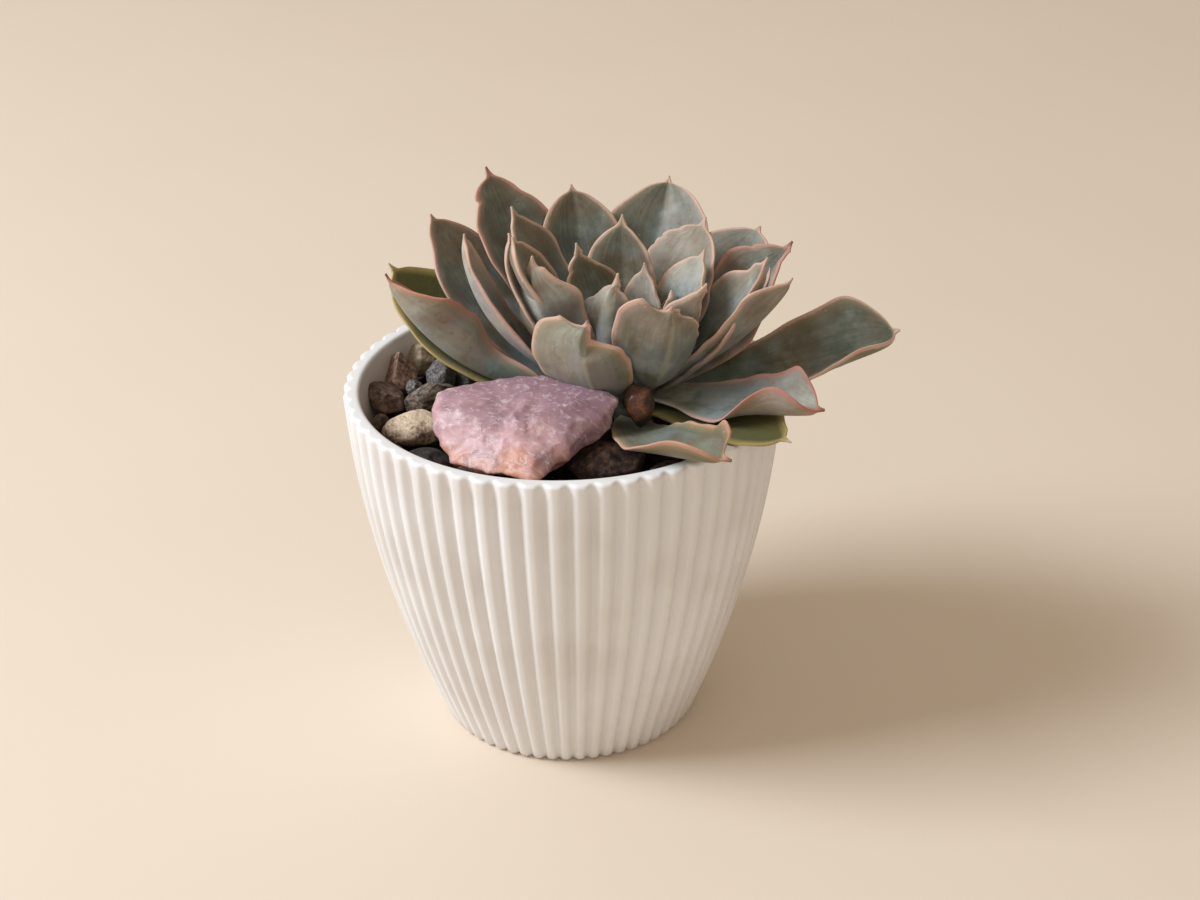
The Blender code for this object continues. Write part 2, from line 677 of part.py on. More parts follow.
def build_pebbles(parts, surroundings, ceiling):
    """Lay the pebbles on the soil: those that the front shows first, then the rest by rule."""
    chance = random.Random(STONE_SEED)
    placed = []
    for stone in SHOWN_STONES:
        mesh, place = seat_stone(stone, "pebble", chance, surroundings)
        if place is not None:
            placed.append(stone)
            add_stone(f"pebble_{len(placed):02d}", mesh, place, parts, stone.colour, surroundings)
    for stone in filler_stones(chance, placed):
        if len(placed) >= PEBBLES:
            break
        mesh, place = seat_stone(stone, "pebble", chance, surroundings)
        if place is not None and not ceiling.touches(mesh, place) and place.translation.z < FILLER_CEILING * MM:
            placed.append(stone)
            add_stone(f"pebble_{len(placed):02d}", mesh, place, parts, stone.colour, surroundings)


def build_quartz(parts, surroundings):
    """Make the rough crystal lump as the hull of its corners, and rest it on the pebbles."""
    build = bmesh.new()
    for corner in QUARTZ_CORNERS:
        build.verts.new(Vector(corner) * MM)
    hull = bmesh.ops.convex_hull(build, input=build.verts)
    bmesh.ops.delete(build, geom=hull["geom_interior"], context="VERTS")
    flat = math.radians(QUARTZ_FLATNESS)
    bmesh.ops.dissolve_limit(build, angle_limit=flat, verts=build.verts, edges=build.edges)
    corners = [edge for edge in build.edges if edge.calc_face_angle(0.0) > math.radians(QUARTZ_CORNER_ANGLE)]
    bmesh.ops.bevel(build, geom=corners, offset=QUARTZ_BEVEL * MM, segments=1, affect="EDGES")
    bmesh.ops.recalc_face_normals(build, faces=build.faces)
    mesh = bpy.data.meshes.new("rose_quartz")
    build.to_mesh(mesh)
    build.free()
    place = surroundings.seat(mesh, Matrix.Identity(4), 0.0, 0.0, QUARTZ_START)
    return add_stone("rose_quartz", mesh, place, parts, "quartz", surroundings)


def build_brown_stone(parts, surroundings):
    """Make the polished stone and stand it on the leaf that lies in front of the rosette."""
    chance = random.Random(BROWN_STONE_SEED)
    mesh = stone_mesh("brown_stone", BROWN_STONE_SIZE, chance, BROWN_STONE_LUMP, BROWN_STONE_SQUARENESS)
    place = surroundings.seat(mesh, Matrix.Identity(4), *BROWN_STONE_PLACE)
    return add_stone("brown_stone", mesh, place, parts, "polished", surroundings)


def main():
    """Build the potted plant."""
    clear_scene()
    parts = new_collection("potted_echeveria")
    cutters = new_collection("cutters")
    pot = build_pot(parts, cutters)
    soil = build_soil(parts, cutters)
    plant = build_echeveria(parts)
    ceiling = Surroundings()
    ceiling.add(plant)
    surroundings = Surroundings()
    surroundings.add(pot)
    surroundings.add(soil)
    build_pebbles(parts, surroundings, ceiling)
    build_quartz(parts, surroundings)
    surroundings.add(plant)
    build_brown_stone(parts, surroundings)


main()
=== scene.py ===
"""Looks of a potted echeveria: ribbed pot, soil, pebbles, rough crystal, polished stone and rosette.

Lengths are in millimetres and angles in degrees until a mesh is made. Meshes are in metres, in the
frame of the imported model: the origin is the centre of the pot's foot, +Z is up and -Y is the front.
"""

import json
import logging
import math
import random
from collections.abc import Callable, Sequence
from dataclasses import dataclass, field
from enum import Enum, IntEnum

import bmesh
import bpy
import numpy as np
from mathutils import Matrix, Vector, noise
from mathutils.bvhtree import BVHTree


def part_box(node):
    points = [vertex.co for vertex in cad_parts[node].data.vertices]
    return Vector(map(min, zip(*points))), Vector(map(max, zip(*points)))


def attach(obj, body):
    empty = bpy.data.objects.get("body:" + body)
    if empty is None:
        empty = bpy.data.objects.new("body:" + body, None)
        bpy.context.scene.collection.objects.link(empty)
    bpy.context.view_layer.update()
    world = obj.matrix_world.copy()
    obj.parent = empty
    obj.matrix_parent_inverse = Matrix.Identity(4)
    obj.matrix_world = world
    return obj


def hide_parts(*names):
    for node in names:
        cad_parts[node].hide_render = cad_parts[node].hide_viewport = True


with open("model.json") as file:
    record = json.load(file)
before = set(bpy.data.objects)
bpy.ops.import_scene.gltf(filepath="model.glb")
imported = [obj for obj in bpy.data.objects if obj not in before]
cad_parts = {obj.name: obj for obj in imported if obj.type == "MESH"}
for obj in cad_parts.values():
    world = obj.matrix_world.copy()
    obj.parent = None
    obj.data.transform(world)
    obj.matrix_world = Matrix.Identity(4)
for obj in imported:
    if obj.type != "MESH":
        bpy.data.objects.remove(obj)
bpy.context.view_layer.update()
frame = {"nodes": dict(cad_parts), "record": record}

LOG = logging.getLogger("potted_echeveria")
MM = 0.001
BODY = "root"
NOISE_SEED = 7  # the bent scoops of the stones follow it, so it is set before anything is built
FULL_TURN = 2.0 * math.pi
STEM = (19.0, -5.0)  # where the plant grows out of the soil


def ease(low: float, high: float, value: np.ndarray) -> np.ndarray:
    """Rise smoothly from 0 at low to 1 at high.

    Args:
        low: Value at which the result is 0.
        high: Value at which the result is 1.
        value: The values to ease.

    Returns:
        The eased shares, from 0 to 1.
    """
    share = np.clip((value - low) / (high - low), 0.0, 1.0)
    return share * share * (3.0 - 2.0 * share)


def bell(value: np.ndarray, middle: float, spread: float) -> np.ndarray:
    """Return a soft hump of height 1 about a middle value."""
    return np.exp(-((value - middle) / spread) ** 2)


def around(count: int) -> np.ndarray:
    """Return evenly spaced angles that make one full turn."""
    return np.arange(count) / count * FULL_TURN


def ring(radius: np.ndarray | float, angle: np.ndarray, height: np.ndarray | float) -> np.ndarray:
    """Return the points of one ring about the pot's axis."""
    return np.stack([radius * np.cos(angle), radius * np.sin(angle), np.broadcast_to(height, angle.shape)], 1)


# Shader building

@dataclass(frozen=True)
class Tint:
    """A colour as a screen shows it, each part from 0 to 255, in the usual sRGB curve."""

    red: float
    green: float
    blue: float

    def light(self) -> tuple[float, float, float, float]:
        """Return the colour as the light values that a shader works with."""
        parts = [part / 255.0 for part in (self.red, self.green, self.blue)]
        return (*(p / 12.92 if p <= 0.04045 else ((p + 0.055) / 1.055) ** 2.4 for p in parts), 1.0)


def operator(operation: str, swapped: bool = False) -> Callable[["Wire", "Number"], "Wire"]:
    """Make an operator method that adds one Math node.

    Args:
        operation: The Math node's operation.
        swapped: True for the reflected form, where the wire is the second value.

    Returns:
        The method.
    """
    def method(self: "Wire", other: "Number") -> "Wire":
        """Add the Math node for this operator."""
        values = (other, self) if swapped else (self, other)
        return self.board.maths(operation, *values)
    return method


class Wire:
    """A shader value: the usual operators on it add Math nodes."""

    __add__ = operator("ADD")
    __radd__ = operator("ADD", swapped=True)
    __sub__ = operator("SUBTRACT")
    __rsub__ = operator("SUBTRACT", swapped=True)
    __mul__ = operator("MULTIPLY")
    __rmul__ = operator("MULTIPLY", swapped=True)

    def __init__(self, board: "Board", socket: bpy.types.NodeSocket) -> None:
        """Wrap one output socket.

        Args:
            board: The board that the socket's node is on.
            socket: The output socket.
        """
        self.board = board
        self.socket = socket

    def __abs__(self) -> "Wire":
        """Drop the sign."""
        return self.board.maths("ABSOLUTE", self)

    def ease(self, low: float, high: float) -> "Wire":
        """Rise smoothly from 0 to 1 between two values, or fall where low is above high."""
        values = {"Value": self, "From Min": low, "From Max": high}
        return self.board.add("ShaderNodeMapRange", {"interpolation_type": "SMOOTHSTEP"}, values)


Number = float | Wire


class Board:
    """The nodes of one material."""

    MIX_SHARE, MIX_UNDER, MIX_OVER = 0, 6, 7
    MIX_COLOUR = 2

    def __init__(self, name: str) -> None:
        """Start an empty material.

        Args:
            name: The material's name.
        """
        self.material = bpy.data.materials.new(name)
        self.material.use_nodes = True
        self.tree = self.material.node_tree
        self.tree.nodes.clear()

    def add(self, kind: str, settings: dict | None = None, values: dict | None = None,
            output: int | str = 0) -> Wire:
        """Add any node: its settings come first, then the values or links of its sockets.

        Args:
            kind: The node's type.
            settings: The node's own properties, and "stops" for a ramp's positions and tints.
            values: Socket names or numbers, with a plain value, a tint or a wire for each.
            output: The name or number of the node's output that is returned.

        Returns:
            The chosen output.
        """
        node = self.tree.nodes.new(kind)
        for name, value in (settings or {}).items():
            if name == "stops":
                self._set_stops(node.color_ramp, value)
            else:
                setattr(node, name, value)
        for name, value in (values or {}).items():
            socket = node.inputs[name]
            if isinstance(value, Wire):
                self.tree.links.new(value.socket, socket)
            else:
                socket.default_value = value.light() if isinstance(value, Tint) else value
        return Wire(self, node.outputs[output]) if node.outputs else Wire(self, None)

    def _set_stops(self, ramp: bpy.types.ColorRamp, stops: Sequence[tuple[float, Tint]]) -> None:
        """Give a ramp its stops.

        Args:
            ramp: The ramp.
            stops: The place, from 0 to 1, and the tint of each stop.
        """
        while len(ramp.elements) < len(stops):
            ramp.elements.new(1.0)
        for element, (place, tint) in zip(ramp.elements, stops):
            element.position = place
            element.color = tint.light()

    def maths(self, operation: str, *values: Number) -> Wire:
        """Add one Math node."""
        return self.add("ShaderNodeMath", {"operation": operation}, dict(enumerate(values)))

    def place(self) -> Wire:
        """Return the point on the surface in millimetres."""
        point = self.add("ShaderNodeTexCoord", output="Object")
        return self.add("ShaderNodeVectorMath", {"operation": "SCALE"}, {0: point, "Scale": 1.0 / MM})

    def stretched(self, point: Wire, turn: Sequence[float], scale: Sequence[float]) -> Wire:
        """Turn a point, then stretch it along each axis.

        Args:
            point: The point.
            turn: The angle about each axis, in degrees.
            scale: How far features on it are drawn out along each axis.

        Returns:
            The new point.
        """
        turned = [math.radians(angle) for angle in turn]
        values = {"Vector": point, "Rotation": turned, "Scale": scale}
        return self.add("ShaderNodeMapping", {"vector_type": "TEXTURE"}, values)

    def cloud(self, point: Wire, size: float, detail: float = 2.0, warp: float = 0.0) -> Wire:
        """Soft noise from 0 to 1 with features of about the given size."""
        values = {"Vector": point, "Scale": 1.0 / size, "Detail": detail, "Distortion": warp}
        return self.add("ShaderNodeTexNoise", {}, values)

    def cells(self, point: Wire, size: float) -> Wire:
        """Distance to the nearest of many scattered points, in cells of about the given size."""
        return self.add("ShaderNodeTexVoronoi", {}, {"Vector": point, "Scale": 1.0 / size})

    def mesh_value(self, name: str) -> Wire:
        """Return a value that the mesh holds at each of its points."""
        return self.add("ShaderNodeAttribute", {"attribute_name": name}, output="Fac")

    def mix(self, under: Wire | Tint, over: Wire | Tint, share: Number) -> Wire:
        """Lay one colour over another."""
        values = {self.MIX_SHARE: share, self.MIX_UNDER: under, self.MIX_OVER: over}
        return self.add("ShaderNodeMix", {"data_type": "RGBA"}, values, self.MIX_COLOUR)

    def layered(self, colour: Wire | Tint, *layers: tuple[Wire | Tint, Number]) -> Wire:
        """Lay several colours over one, each by its share.

        Args:
            colour: The lowest colour.
            layers: The colour and the share of each layer, from the lowest up.

        Returns:
            The colour of them all.
        """
        for over, share in layers:
            colour = self.mix(colour, over, share)
        return colour

    def ramp(self, share: Wire, *stops: tuple[float, Tint]) -> Wire:
        """Turn a value into a colour."""
        return self.add("ShaderNodeValToRGB", {"stops": stops}, {"Fac": share})

    def bump(self, height: Wire, distance: float) -> Wire:
        """Return a normal that a height of up to the given distance tilts."""
        values = {"Height": height, "Distance": distance * MM, "Strength": 1.0}
        return self.add("ShaderNodeBump", {}, values)

    def finish(self, **values: Number | Tint | Sequence[float]) -> bpy.types.Material:
        """Close the material with one Principled shader.

        Args:
            values: Its sockets, named in lower case with _ for each space.

        Returns:
            The material.
        """
        named = {name.replace("_", " ").title().replace("Ior", "IOR"): value
                 for name, value in values.items()}
        shader = self.add("ShaderNodeBsdfPrincipled", {}, named)
        self.add("ShaderNodeOutputMaterial", {}, {"Surface": shader})
        return self.material


# Mesh building

def new_mesh(name: str, points: np.ndarray, faces: Sequence[Sequence[int]]) -> bpy.types.Mesh:
    """Make a smooth mesh with its faces pointing out.

    Args:
        name: The mesh's name.
        points: Its points, in millimetres.
        faces: Its faces, as lists of point numbers.

    Returns:
        The mesh, in metres.
    """
    mesh = bpy.data.meshes.new(name)
    mesh.from_pydata((np.asarray(points) * MM).tolist(), [], faces)
    build = bmesh.new()
    build.from_mesh(mesh)
    bmesh.ops.recalc_face_normals(build, faces=build.faces)
    build.to_mesh(mesh)
    build.free()
    mesh.shade_smooth()
    return mesh


def loft(name: str, rings: np.ndarray, start: Sequence[float], end: Sequence[float]) -> bpy.types.Mesh:
    """Join rings of points in a closed skin whose two ends run together in a point.

    Args:
        name: The mesh's name.
        rings: The points, as rings by points by coordinates, in millimetres.
        start: The point that closes the first ring.
        end: The point that closes the last ring.

    Returns:
        The mesh.
    """
    count, around = rings.shape[:2]
    points = np.concatenate([rings.reshape(-1, 3), [start, end]])
    here = np.arange(count * around).reshape(count, around)
    after = np.roll(here, -1, axis=1)
    quads = np.stack([here[:-1], after[:-1], after[1:], here[1:]], -1).reshape(-1, 4).tolist()
    first = count * around
    quads += [[int(b), int(a), first] for a, b in zip(here[0], after[0])]
    quads += [[int(a), int(b), first + 1] for a, b in zip(here[-1], after[-1])]
    return new_mesh(name, points, quads)


def ball(divisions: int) -> tuple[np.ndarray, np.ndarray, list[list[int]]]:
    """Make a ball of triangles with a radius of 1.

    Args:
        divisions: How often its faces are split.

    Returns:
        Its points, the edges between them and their faces.
    """
    build = bmesh.new()
    bmesh.ops.create_icosphere(build, subdivisions=divisions, radius=1.0)
    points = np.array([vertex.co for vertex in build.verts])
    edges = np.array([[vertex.index for vertex in edge.verts] for edge in build.edges])
    faces = [[vertex.index for vertex in face.verts] for face in build.faces]
    build.free()
    return points, edges, faces


def keep_values(mesh: bpy.types.Mesh, name: str, values: np.ndarray) -> None:
    """Store one value for each point of a mesh, for its material to read."""
    held = mesh.attributes.new(name, "FLOAT", "POINT")
    held.data.foreach_set("value", np.asarray(values, np.float32).ravel())


def add_piece(mesh: bpy.types.Mesh, finish: bpy.types.Material, nodes: Sequence[str]) -> None:
    """Put one finished mesh in the scene in place of the plain solids that it stands for.

    Args:
        mesh: The mesh, whose name the piece takes.
        finish: Its material.
        nodes: The solids that it replaces.
    """
    piece = bpy.data.objects.new(mesh.name, mesh)
    bpy.context.scene.collection.objects.link(piece)
    mesh.materials.append(finish)
    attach(piece, BODY)
    if nodes:
        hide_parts(*nodes)
    stands_for = ", ".join(nodes) or "nothing"
    LOG.info("%s: %d faces in place of %s", piece.name, len(mesh.polygons), stands_for)


# Pot

@dataclass(frozen=True)
class Glaze:
    """Warm white satin glaze, with a lighter tint painted on the pot's inside as painted bounce light."""

    body: Tint = Tint(234, 233, 234)
    shade: Tint = Tint(227, 224, 223)
    # inside: a lighter tint for the inner wall and floor, painted light that stands in for light bouncing
    # about inside the pot
    inside: Tint = Tint(250, 246, 242)
    drift_size: float = 26.0
    gloss_size: float = 9.0
    swell_size: float = 5.0
    pore_size: float = 0.7
    pore_depth: float = 0.012

    def material(self) -> bpy.types.Material:
        """Mix the glaze.

        Returns:
            The material.
        """
        board = Board("satin_glaze")
        point = board.place()
        drift = board.cloud(point, self.drift_size).ease(0.42, 0.68)
        # the pot's inside takes the lighter inside tint: painted light on its shaded inner wall
        colour = board.layered(self.body, (self.shade, drift), (self.inside, board.mesh_value("inner")))
        relief = board.cloud(point, self.pore_size, 3.0) + 2.0 * board.cloud(point, self.swell_size)
        gloss = 0.34 + 0.10 * board.cloud(point, self.gloss_size)
        return board.finish(base_color=colour, roughness=gloss, normal=board.bump(relief, self.pore_depth),
                            coat_weight=0.12, coat_roughness=0.3, subsurface_weight=0.05,
                            subsurface_radius=(1.0, 0.8, 0.6), subsurface_scale=0.002)


@dataclass
class Pot:
    """The flared cup with upright ribs all round."""

    height: float = 101.0
    rim_radius: float = 59.97
    foot_radius: float = 36.2
    wall: float = 4.5
    floor: float = 6.0
    belly_share: float = 0.78
    belly_power: float = 1.94
    lip_round: float = 1.2
    lip_steps: int = 4
    lip_relief: float = 0.8
    lip_fade: float = 0.4
    lip_fade_height: float = 7.0
    underside_radius: float = 12.0
    foot_edge: float = 4.0
    foot_relief: float = 0.2
    floor_round: float = 3.0
    inner_heights: tuple[float, ...] = (90.0, 80.0, 66.0, 50.0, 34.0, 18.0, 9.0)
    ribs: int = 57
    points_per_rib: int = 14
    groove_share_of_pitch: float = 0.31
    groove_narrowness: float = 2.0
    rows: int = 42
    round_rows: int = 6

    def outside(self, height: float) -> float:
        """Find how wide the pot is.

        Args:
            height: Height above the foot.

        Returns:
            The radius at the rib tops.
        """
        share = min(max(height / self.height, 0.0), 1.0)
        swell = 1.0 - (1.0 - share) ** self.belly_power
        mixed = (1.0 - self.belly_share) * share + self.belly_share * swell
        return self.foot_radius + (self.rim_radius - self.foot_radius) * mixed

    def inside(self, height: float) -> float:
        """Radius of the hollow at a height above the foot."""
        return self.outside(height) - self.wall

    def _profile(self) -> list[tuple[float, float, float]]:
        """Draw the profile from the underside's middle up, over the lip and down to the floor's middle.

        Returns:
            The radius, the height and the depth of the ribs' relief of each row.
        """
        quarter = np.linspace(0.0, math.pi / 2.0, self.round_rows)
        soft = self.lip_round
        shoulder = self.height - soft
        foot = self.foot_radius - soft
        lines = [(self.underside_radius, 0.0, 0.0),
                 (self.foot_radius - self.foot_edge, 0.0, self.foot_relief)]
        lines += [(foot + soft * math.sin(a), soft - soft * math.cos(a), 1.0) for a in quarter[:-1]]
        for z in np.linspace(soft, shoulder, self.rows):
            faded = self.lip_fade * float(ease(self.height - self.lip_fade_height, shoulder, z))
            lines.append((self.outside(z), z, 1.0 - faded))
        outer = self.rim_radius - soft
        lines += [(outer + soft * math.cos(a), shoulder + soft * math.sin(a), 1.0 - self.lip_fade)
                  for a in quarter[1:]]
        inner = self.inside(self.height) + soft
        for share in np.linspace(0.3, 1.0, self.lip_steps):
            relief = self.lip_relief * max(1.0 - share * 1.2, 0.0) ** 2
            lines.append((outer + (inner - outer) * share, self.height, relief))
        lines += [(inner - soft * math.sin(a), shoulder + soft * math.cos(a), 0.0) for a in quarter[1:]]
        lines += [(self.inside(z), z, 0.0) for z in self.inner_heights]
        lines.append((self.inside(self.floor) - self.floor_round, self.floor, 0.0))
        return lines

    def mesh(self) -> bpy.types.Mesh:
        """Turn the profile and sink a narrow groove between each two ribs.

        Returns:
            The pot's mesh, which holds where its inside is.
        """
        columns = self.ribs * self.points_per_rib
        angle = around(columns)
        groove = (0.5 + 0.5 * np.cos(angle * self.ribs)) ** self.groove_narrowness
        rings = []
        for radius, height, relief in self._profile():
            depth = self.groove_share_of_pitch * FULL_TURN * radius / self.ribs * relief
            rings.append(ring(radius - depth * groove, angle, height))
        mesh = loft("glazed_pot", np.array(rings), (0.0, 0.0, 0.0), (0.0, 0.0, self.floor))
        inner = np.zeros((len(rings), columns))
        inner[-len(self.inner_heights) - 1:] = 1.0
        keep_values(mesh, "inner", np.append(inner, [0.0, 1.0]))
        return mesh

    def build(self) -> None:
        """Add the pot."""
        add_piece(self.mesh(), Glaze().material(), ["pot"])


# Soil

@dataclass(frozen=True)
class PottingMix:
    """Nearly black, crumbly potting soil."""

    black: Tint = Tint(22, 17, 14)
    brown: Tint = Tint(58, 42, 32)
    bark: Tint = Tint(98, 68, 44)
    grit: Tint = Tint(176, 166, 148)
    crumb_size: float = 1.6
    patch_size: float = 2.2
    grit_spacing: float = 2.7
    depth: float = 0.5

    def material(self) -> bpy.types.Material:
        """Mix the soil.

        Returns:
            The material.
        """
        board = Board("potting_mix")
        point = board.place()
        patch = board.cloud(point, self.patch_size, 4.0)
        colour = board.ramp(patch, (0.35, self.black), (0.62, self.brown), (0.8, self.bark))
        colour = board.mix(colour, self.grit, board.cells(point, self.grit_spacing).ease(0.12, 0.08) * 0.7)
        relief = board.cells(point, self.crumb_size) + board.cloud(point, 0.8, 4.0)
        return board.finish(base_color=colour, roughness=0.9, normal=board.bump(relief, self.depth),
                            specular_ior_level=0.25)


@dataclass
class Soil:
    """The bed of soil in the pot, with loose crumbs on it. Turns are in radians a millimetre."""

    pot: Pot
    level: float = 86.0
    rise_at_stem: float = 2.0
    mound_spread: float = 20.0
    ripple: float = 0.6
    ripple_turns: tuple[float, float] = (0.21, 0.17)
    lump_height: float = 0.9
    lump_turns: float = 0.35
    highest_lump: float = 0.4
    stem: tuple[float, float] = STEM
    gap: float = 0.3
    side_heights: tuple[float, ...] = (78.0, 55.0, 30.0, 14.0)
    rings: int = 34
    columns: int = 150
    crumbs: int = 1300
    crumb_seed: int = 11
    crumb_sizes: tuple[float, float] = (0.35, 1.5)
    crumb_wear: tuple[float, float] = (0.6, 1.0)
    crumb_shares: tuple[float, float] = (0.5, 1.0)
    crumb_jitter: tuple[float, float] = (0.75, 1.1)
    crumb_lift: float = 0.25
    crumb_margin: float = 1.5

    def surface(self, x: float, y: float) -> float:
        """Find how high the soil lies.

        Args:
            x: How far right of the pot's axis.
            y: How far behind it.

        Returns:
            The height above the pot's foot.
        """
        distance = math.hypot(x - self.stem[0], y - self.stem[1])
        mound = self.rise_at_stem * math.exp(-(distance / self.mound_spread) ** 2)
        turn_x, turn_y = self.ripple_turns
        wave = self.ripple * math.sin(x * turn_x + 1.0) * math.cos(y * turn_y)
        lumps = self.lump_height * noise.fractal(Vector((x, y, 3.0)) * self.lump_turns, 0.8, 2.0, 4)
        return self.level + mound + wave + min(lumps, self.highest_lump)

    def bed_mesh(self) -> bpy.types.Mesh:
        """Make the bed, rough on top and plain where the pot holds it.

        Returns:
            The bed's mesh.
        """
        angle = around(self.columns)
        edge = self.pot.inside(self.level) - self.gap
        foot = self.pot.floor + self.gap
        rings = []
        for radius in np.linspace(edge / self.rings, edge, self.rings):
            rings.append([(x, y, self.surface(x, y)) for x, y, _ in ring(radius, angle, 0.0)])
        for height in self.side_heights:
            rings.append(ring(self.pot.inside(height) - self.gap, angle, height))
        rings.append(ring(self.pot.inside(foot) - self.gap - self.pot.floor_round, angle, foot))
        return loft("potting_soil", np.array(rings), (0.0, 0.0, self.surface(0.0, 0.0)), (0.0, 0.0, foot))

    def crumb_mesh(self) -> bpy.types.Mesh:
        """Scatter small angular crumbs on the bed.

        Returns:
            One mesh of them all.
        """
        chance = random.Random(self.crumb_seed)
        shape, _, corners = ball(1)
        points, faces = [], []
        for index in range(self.crumbs):
            spread = math.sqrt(chance.random()) * (self.pot.inside(self.level) - self.crumb_margin)
            turn = chance.uniform(0.0, FULL_TURN)
            x, y = spread * math.cos(turn), spread * math.sin(turn)
            size = chance.uniform(*self.crumb_sizes) * chance.uniform(*self.crumb_wear)
            axes = [size * chance.uniform(*self.crumb_shares) for _ in range(3)]
            jitter = np.array([[chance.uniform(*self.crumb_jitter)] for _ in shape])
            tumble = chance.uniform(0, math.pi)
            turned = Matrix.Rotation(tumble, 3, Vector((chance.random(), chance.random(), 0.4)))
            body = (shape * jitter * axes) @ np.array(turned).T
            points.append(body + (x, y, self.surface(x, y) + self.crumb_lift * size))
            faces += [[index * len(shape) + corner for corner in face] for face in corners]
        return new_mesh("soil_crumbs", np.concatenate(points), faces)

    def build(self) -> None:
        """Add the bed and its crumbs."""
        mix = PottingMix().material()
        add_piece(self.bed_mesh(), mix, ["soil"])
        add_piece(self.crumb_mesh(), mix, [])


# Plant

@dataclass(frozen=True)
class LeafSkin:
    """Waxy leaf skin: a powdery bloom over dark green, rubbed patches, a painted highlight along the keel and
    a coloured margin.
    """

    dark: Tint = Tint(60, 64, 46)
    green: Tint = Tint(96, 100, 82)
    grey: Tint = Tint(140, 139, 125)
    powder: Tint = Tint(185, 182, 170)
    wash: Tint = Tint(88, 104, 82)
    blue: Tint = Tint(122, 144, 158)
    mauve: Tint = Tint(148, 130, 130)
    brown: Tint = Tint(104, 88, 72)
    fawn: Tint = Tint(168, 144, 126)
    moss: Tint = Tint(104, 102, 66)
    olive: Tint = Tint(84, 82, 30)
    yellow: Tint = Tint(168, 152, 84)
    # keel: pale colour painted down the keel on each leaf's back, a painted highlight where the keel's crest
    # catches the light
    keel: Tint = Tint(170, 168, 146)
    cream: Tint = Tint(206, 182, 160)
    salmon: Tint = Tint(208, 162, 148)
    red: Tint = Tint(176, 106, 90)
    dry: Tint = Tint(120, 60, 50)
    speck: Tint = Tint(212, 210, 200)
    patch_size: float = 7.0
    wide_size: float = 14.0
    mauve_size: float = 10.0
    wash_size: float = 8.0
    blot_size: float = 2.6
    grain_size: float = 1.3
    fine_size: float = 0.28
    dust_spacing: float = 1.9
    streaks: tuple[float, float, float] = (9.0, 2.6, 40.0)
    relief_depth: float = 0.09

    def material(self) -> bpy.types.Material:
        """Mix the skin, which reads the values that each leaf's mesh holds.

        Returns:
            The material.
        """
        board = Board("leaf_skin")
        point = board.place()
        span, reach, back, side = (board.mesh_value(name) for name in ("span", "reach", "back", "side"))
        bloom, olive, blush = (board.mesh_value(name) for name in ("bloom", "olive", "blush"))
        across, along, apart = self.streaks
        lengthwise = {0: side * across, 1: span * along, 2: (blush + olive) * apart}
        streak = board.cloud(board.add("ShaderNodeCombineXYZ", {}, lengthwise), 1.0, 3.0)
        patch = board.cloud(point, self.patch_size)
        wide = board.cloud(point, self.wide_size)
        grain = board.cloud(point, self.grain_size, 3.0)

        pale = bloom + 1.25 * (patch - 0.5) + 0.5 * (streak - 0.5) + 0.3 * (grain - 0.5) + 0.08 * back
        waxed = board.ramp(pale, (0.05, self.dark), (0.36, self.green), (0.66, self.grey), (1.0, self.powder))
        cool = wide.ease(0.4, 0.56) * span.ease(1.0, 0.45)
        mauve = board.cloud(point, self.mauve_size).ease(0.5, 0.66)
        wash = board.cloud(point, self.wash_size, 3.0).ease(0.5, 0.64) * span.ease(0.95, 0.2)
        tan = board.mix(self.brown, self.fawn, bloom.ease(0.2, 0.65))
        tanned = span.ease(0.3, 0.9) * wide.ease(0.62, 0.42)
        mossy = reach.ease(5.0, 1.5) * bloom.ease(0.55, 0.15) * span.ease(0.3, 0.7)
        sallow = (olive + 0.8 * (patch - 0.5) + reach.ease(6.0, 0.5) * 0.3 - 0.15).ease(0.0, 0.9)
        # painted highlight: a narrow pale line down the middle of the leaf's back, along the keel's crest
        keel_highlight = abs(side).ease(0.06, 0.0) * back * span.ease(0.15, 0.5)
        blot = board.cloud(point, self.blot_size, 3.0).ease(0.62, 0.72)
        dust = board.cells(point, self.dust_spacing).ease(0.13, 0.07) * board.cloud(point, 5.0).ease(0.5, 0.7)
        blade = board.layered(
            waxed,
            (self.blue, cool * (0.1 + 0.72 * bloom)),
            (self.mauve, mauve * (0.15 + 0.35 * back)),
            (self.wash, wash * 0.6),
            (tan, tanned * (0.6 - 0.3 * bloom)),
            (self.moss, mossy * 0.5),
            (self.olive, sallow * olive.ease(0.0, 0.5) * 0.85),
            (self.yellow, reach.ease(3.5, 0.8) * olive.ease(0.1, 0.8) * 0.6),
            # the painted keel highlight
            (self.keel, keel_highlight * 0.6),
            (self.dark, blot * 0.3),
            (self.speck, dust * 0.5))

        margin = board.layered(
            self.cream,
            (self.salmon, blush),
            (self.red, blush.ease(0.75, 1.05) * span.ease(0.4, 0.75) * 0.9),
            (self.yellow, olive.ease(0.3, 1.0) * 0.8))
        near = reach + 0.8 * (grain - 0.5) + 0.6 * (streak - 0.5)
        outer_part = span.ease(0.2, 0.6)
        worn = (0.85 + 0.4 * (patch - 0.5)) * (0.25 + 0.75 * outer_part)
        colour = board.layered(
            blade,
            (margin, near.ease(3.6, 0.6) * outer_part * (0.08 + 0.2 * blush)),
            (margin, near.ease(1.5, 0.5) * worn),
            (board.mix(self.cream, self.dry, blush.ease(0.55, 0.95)), span.ease(0.96, 0.995) * 0.85))

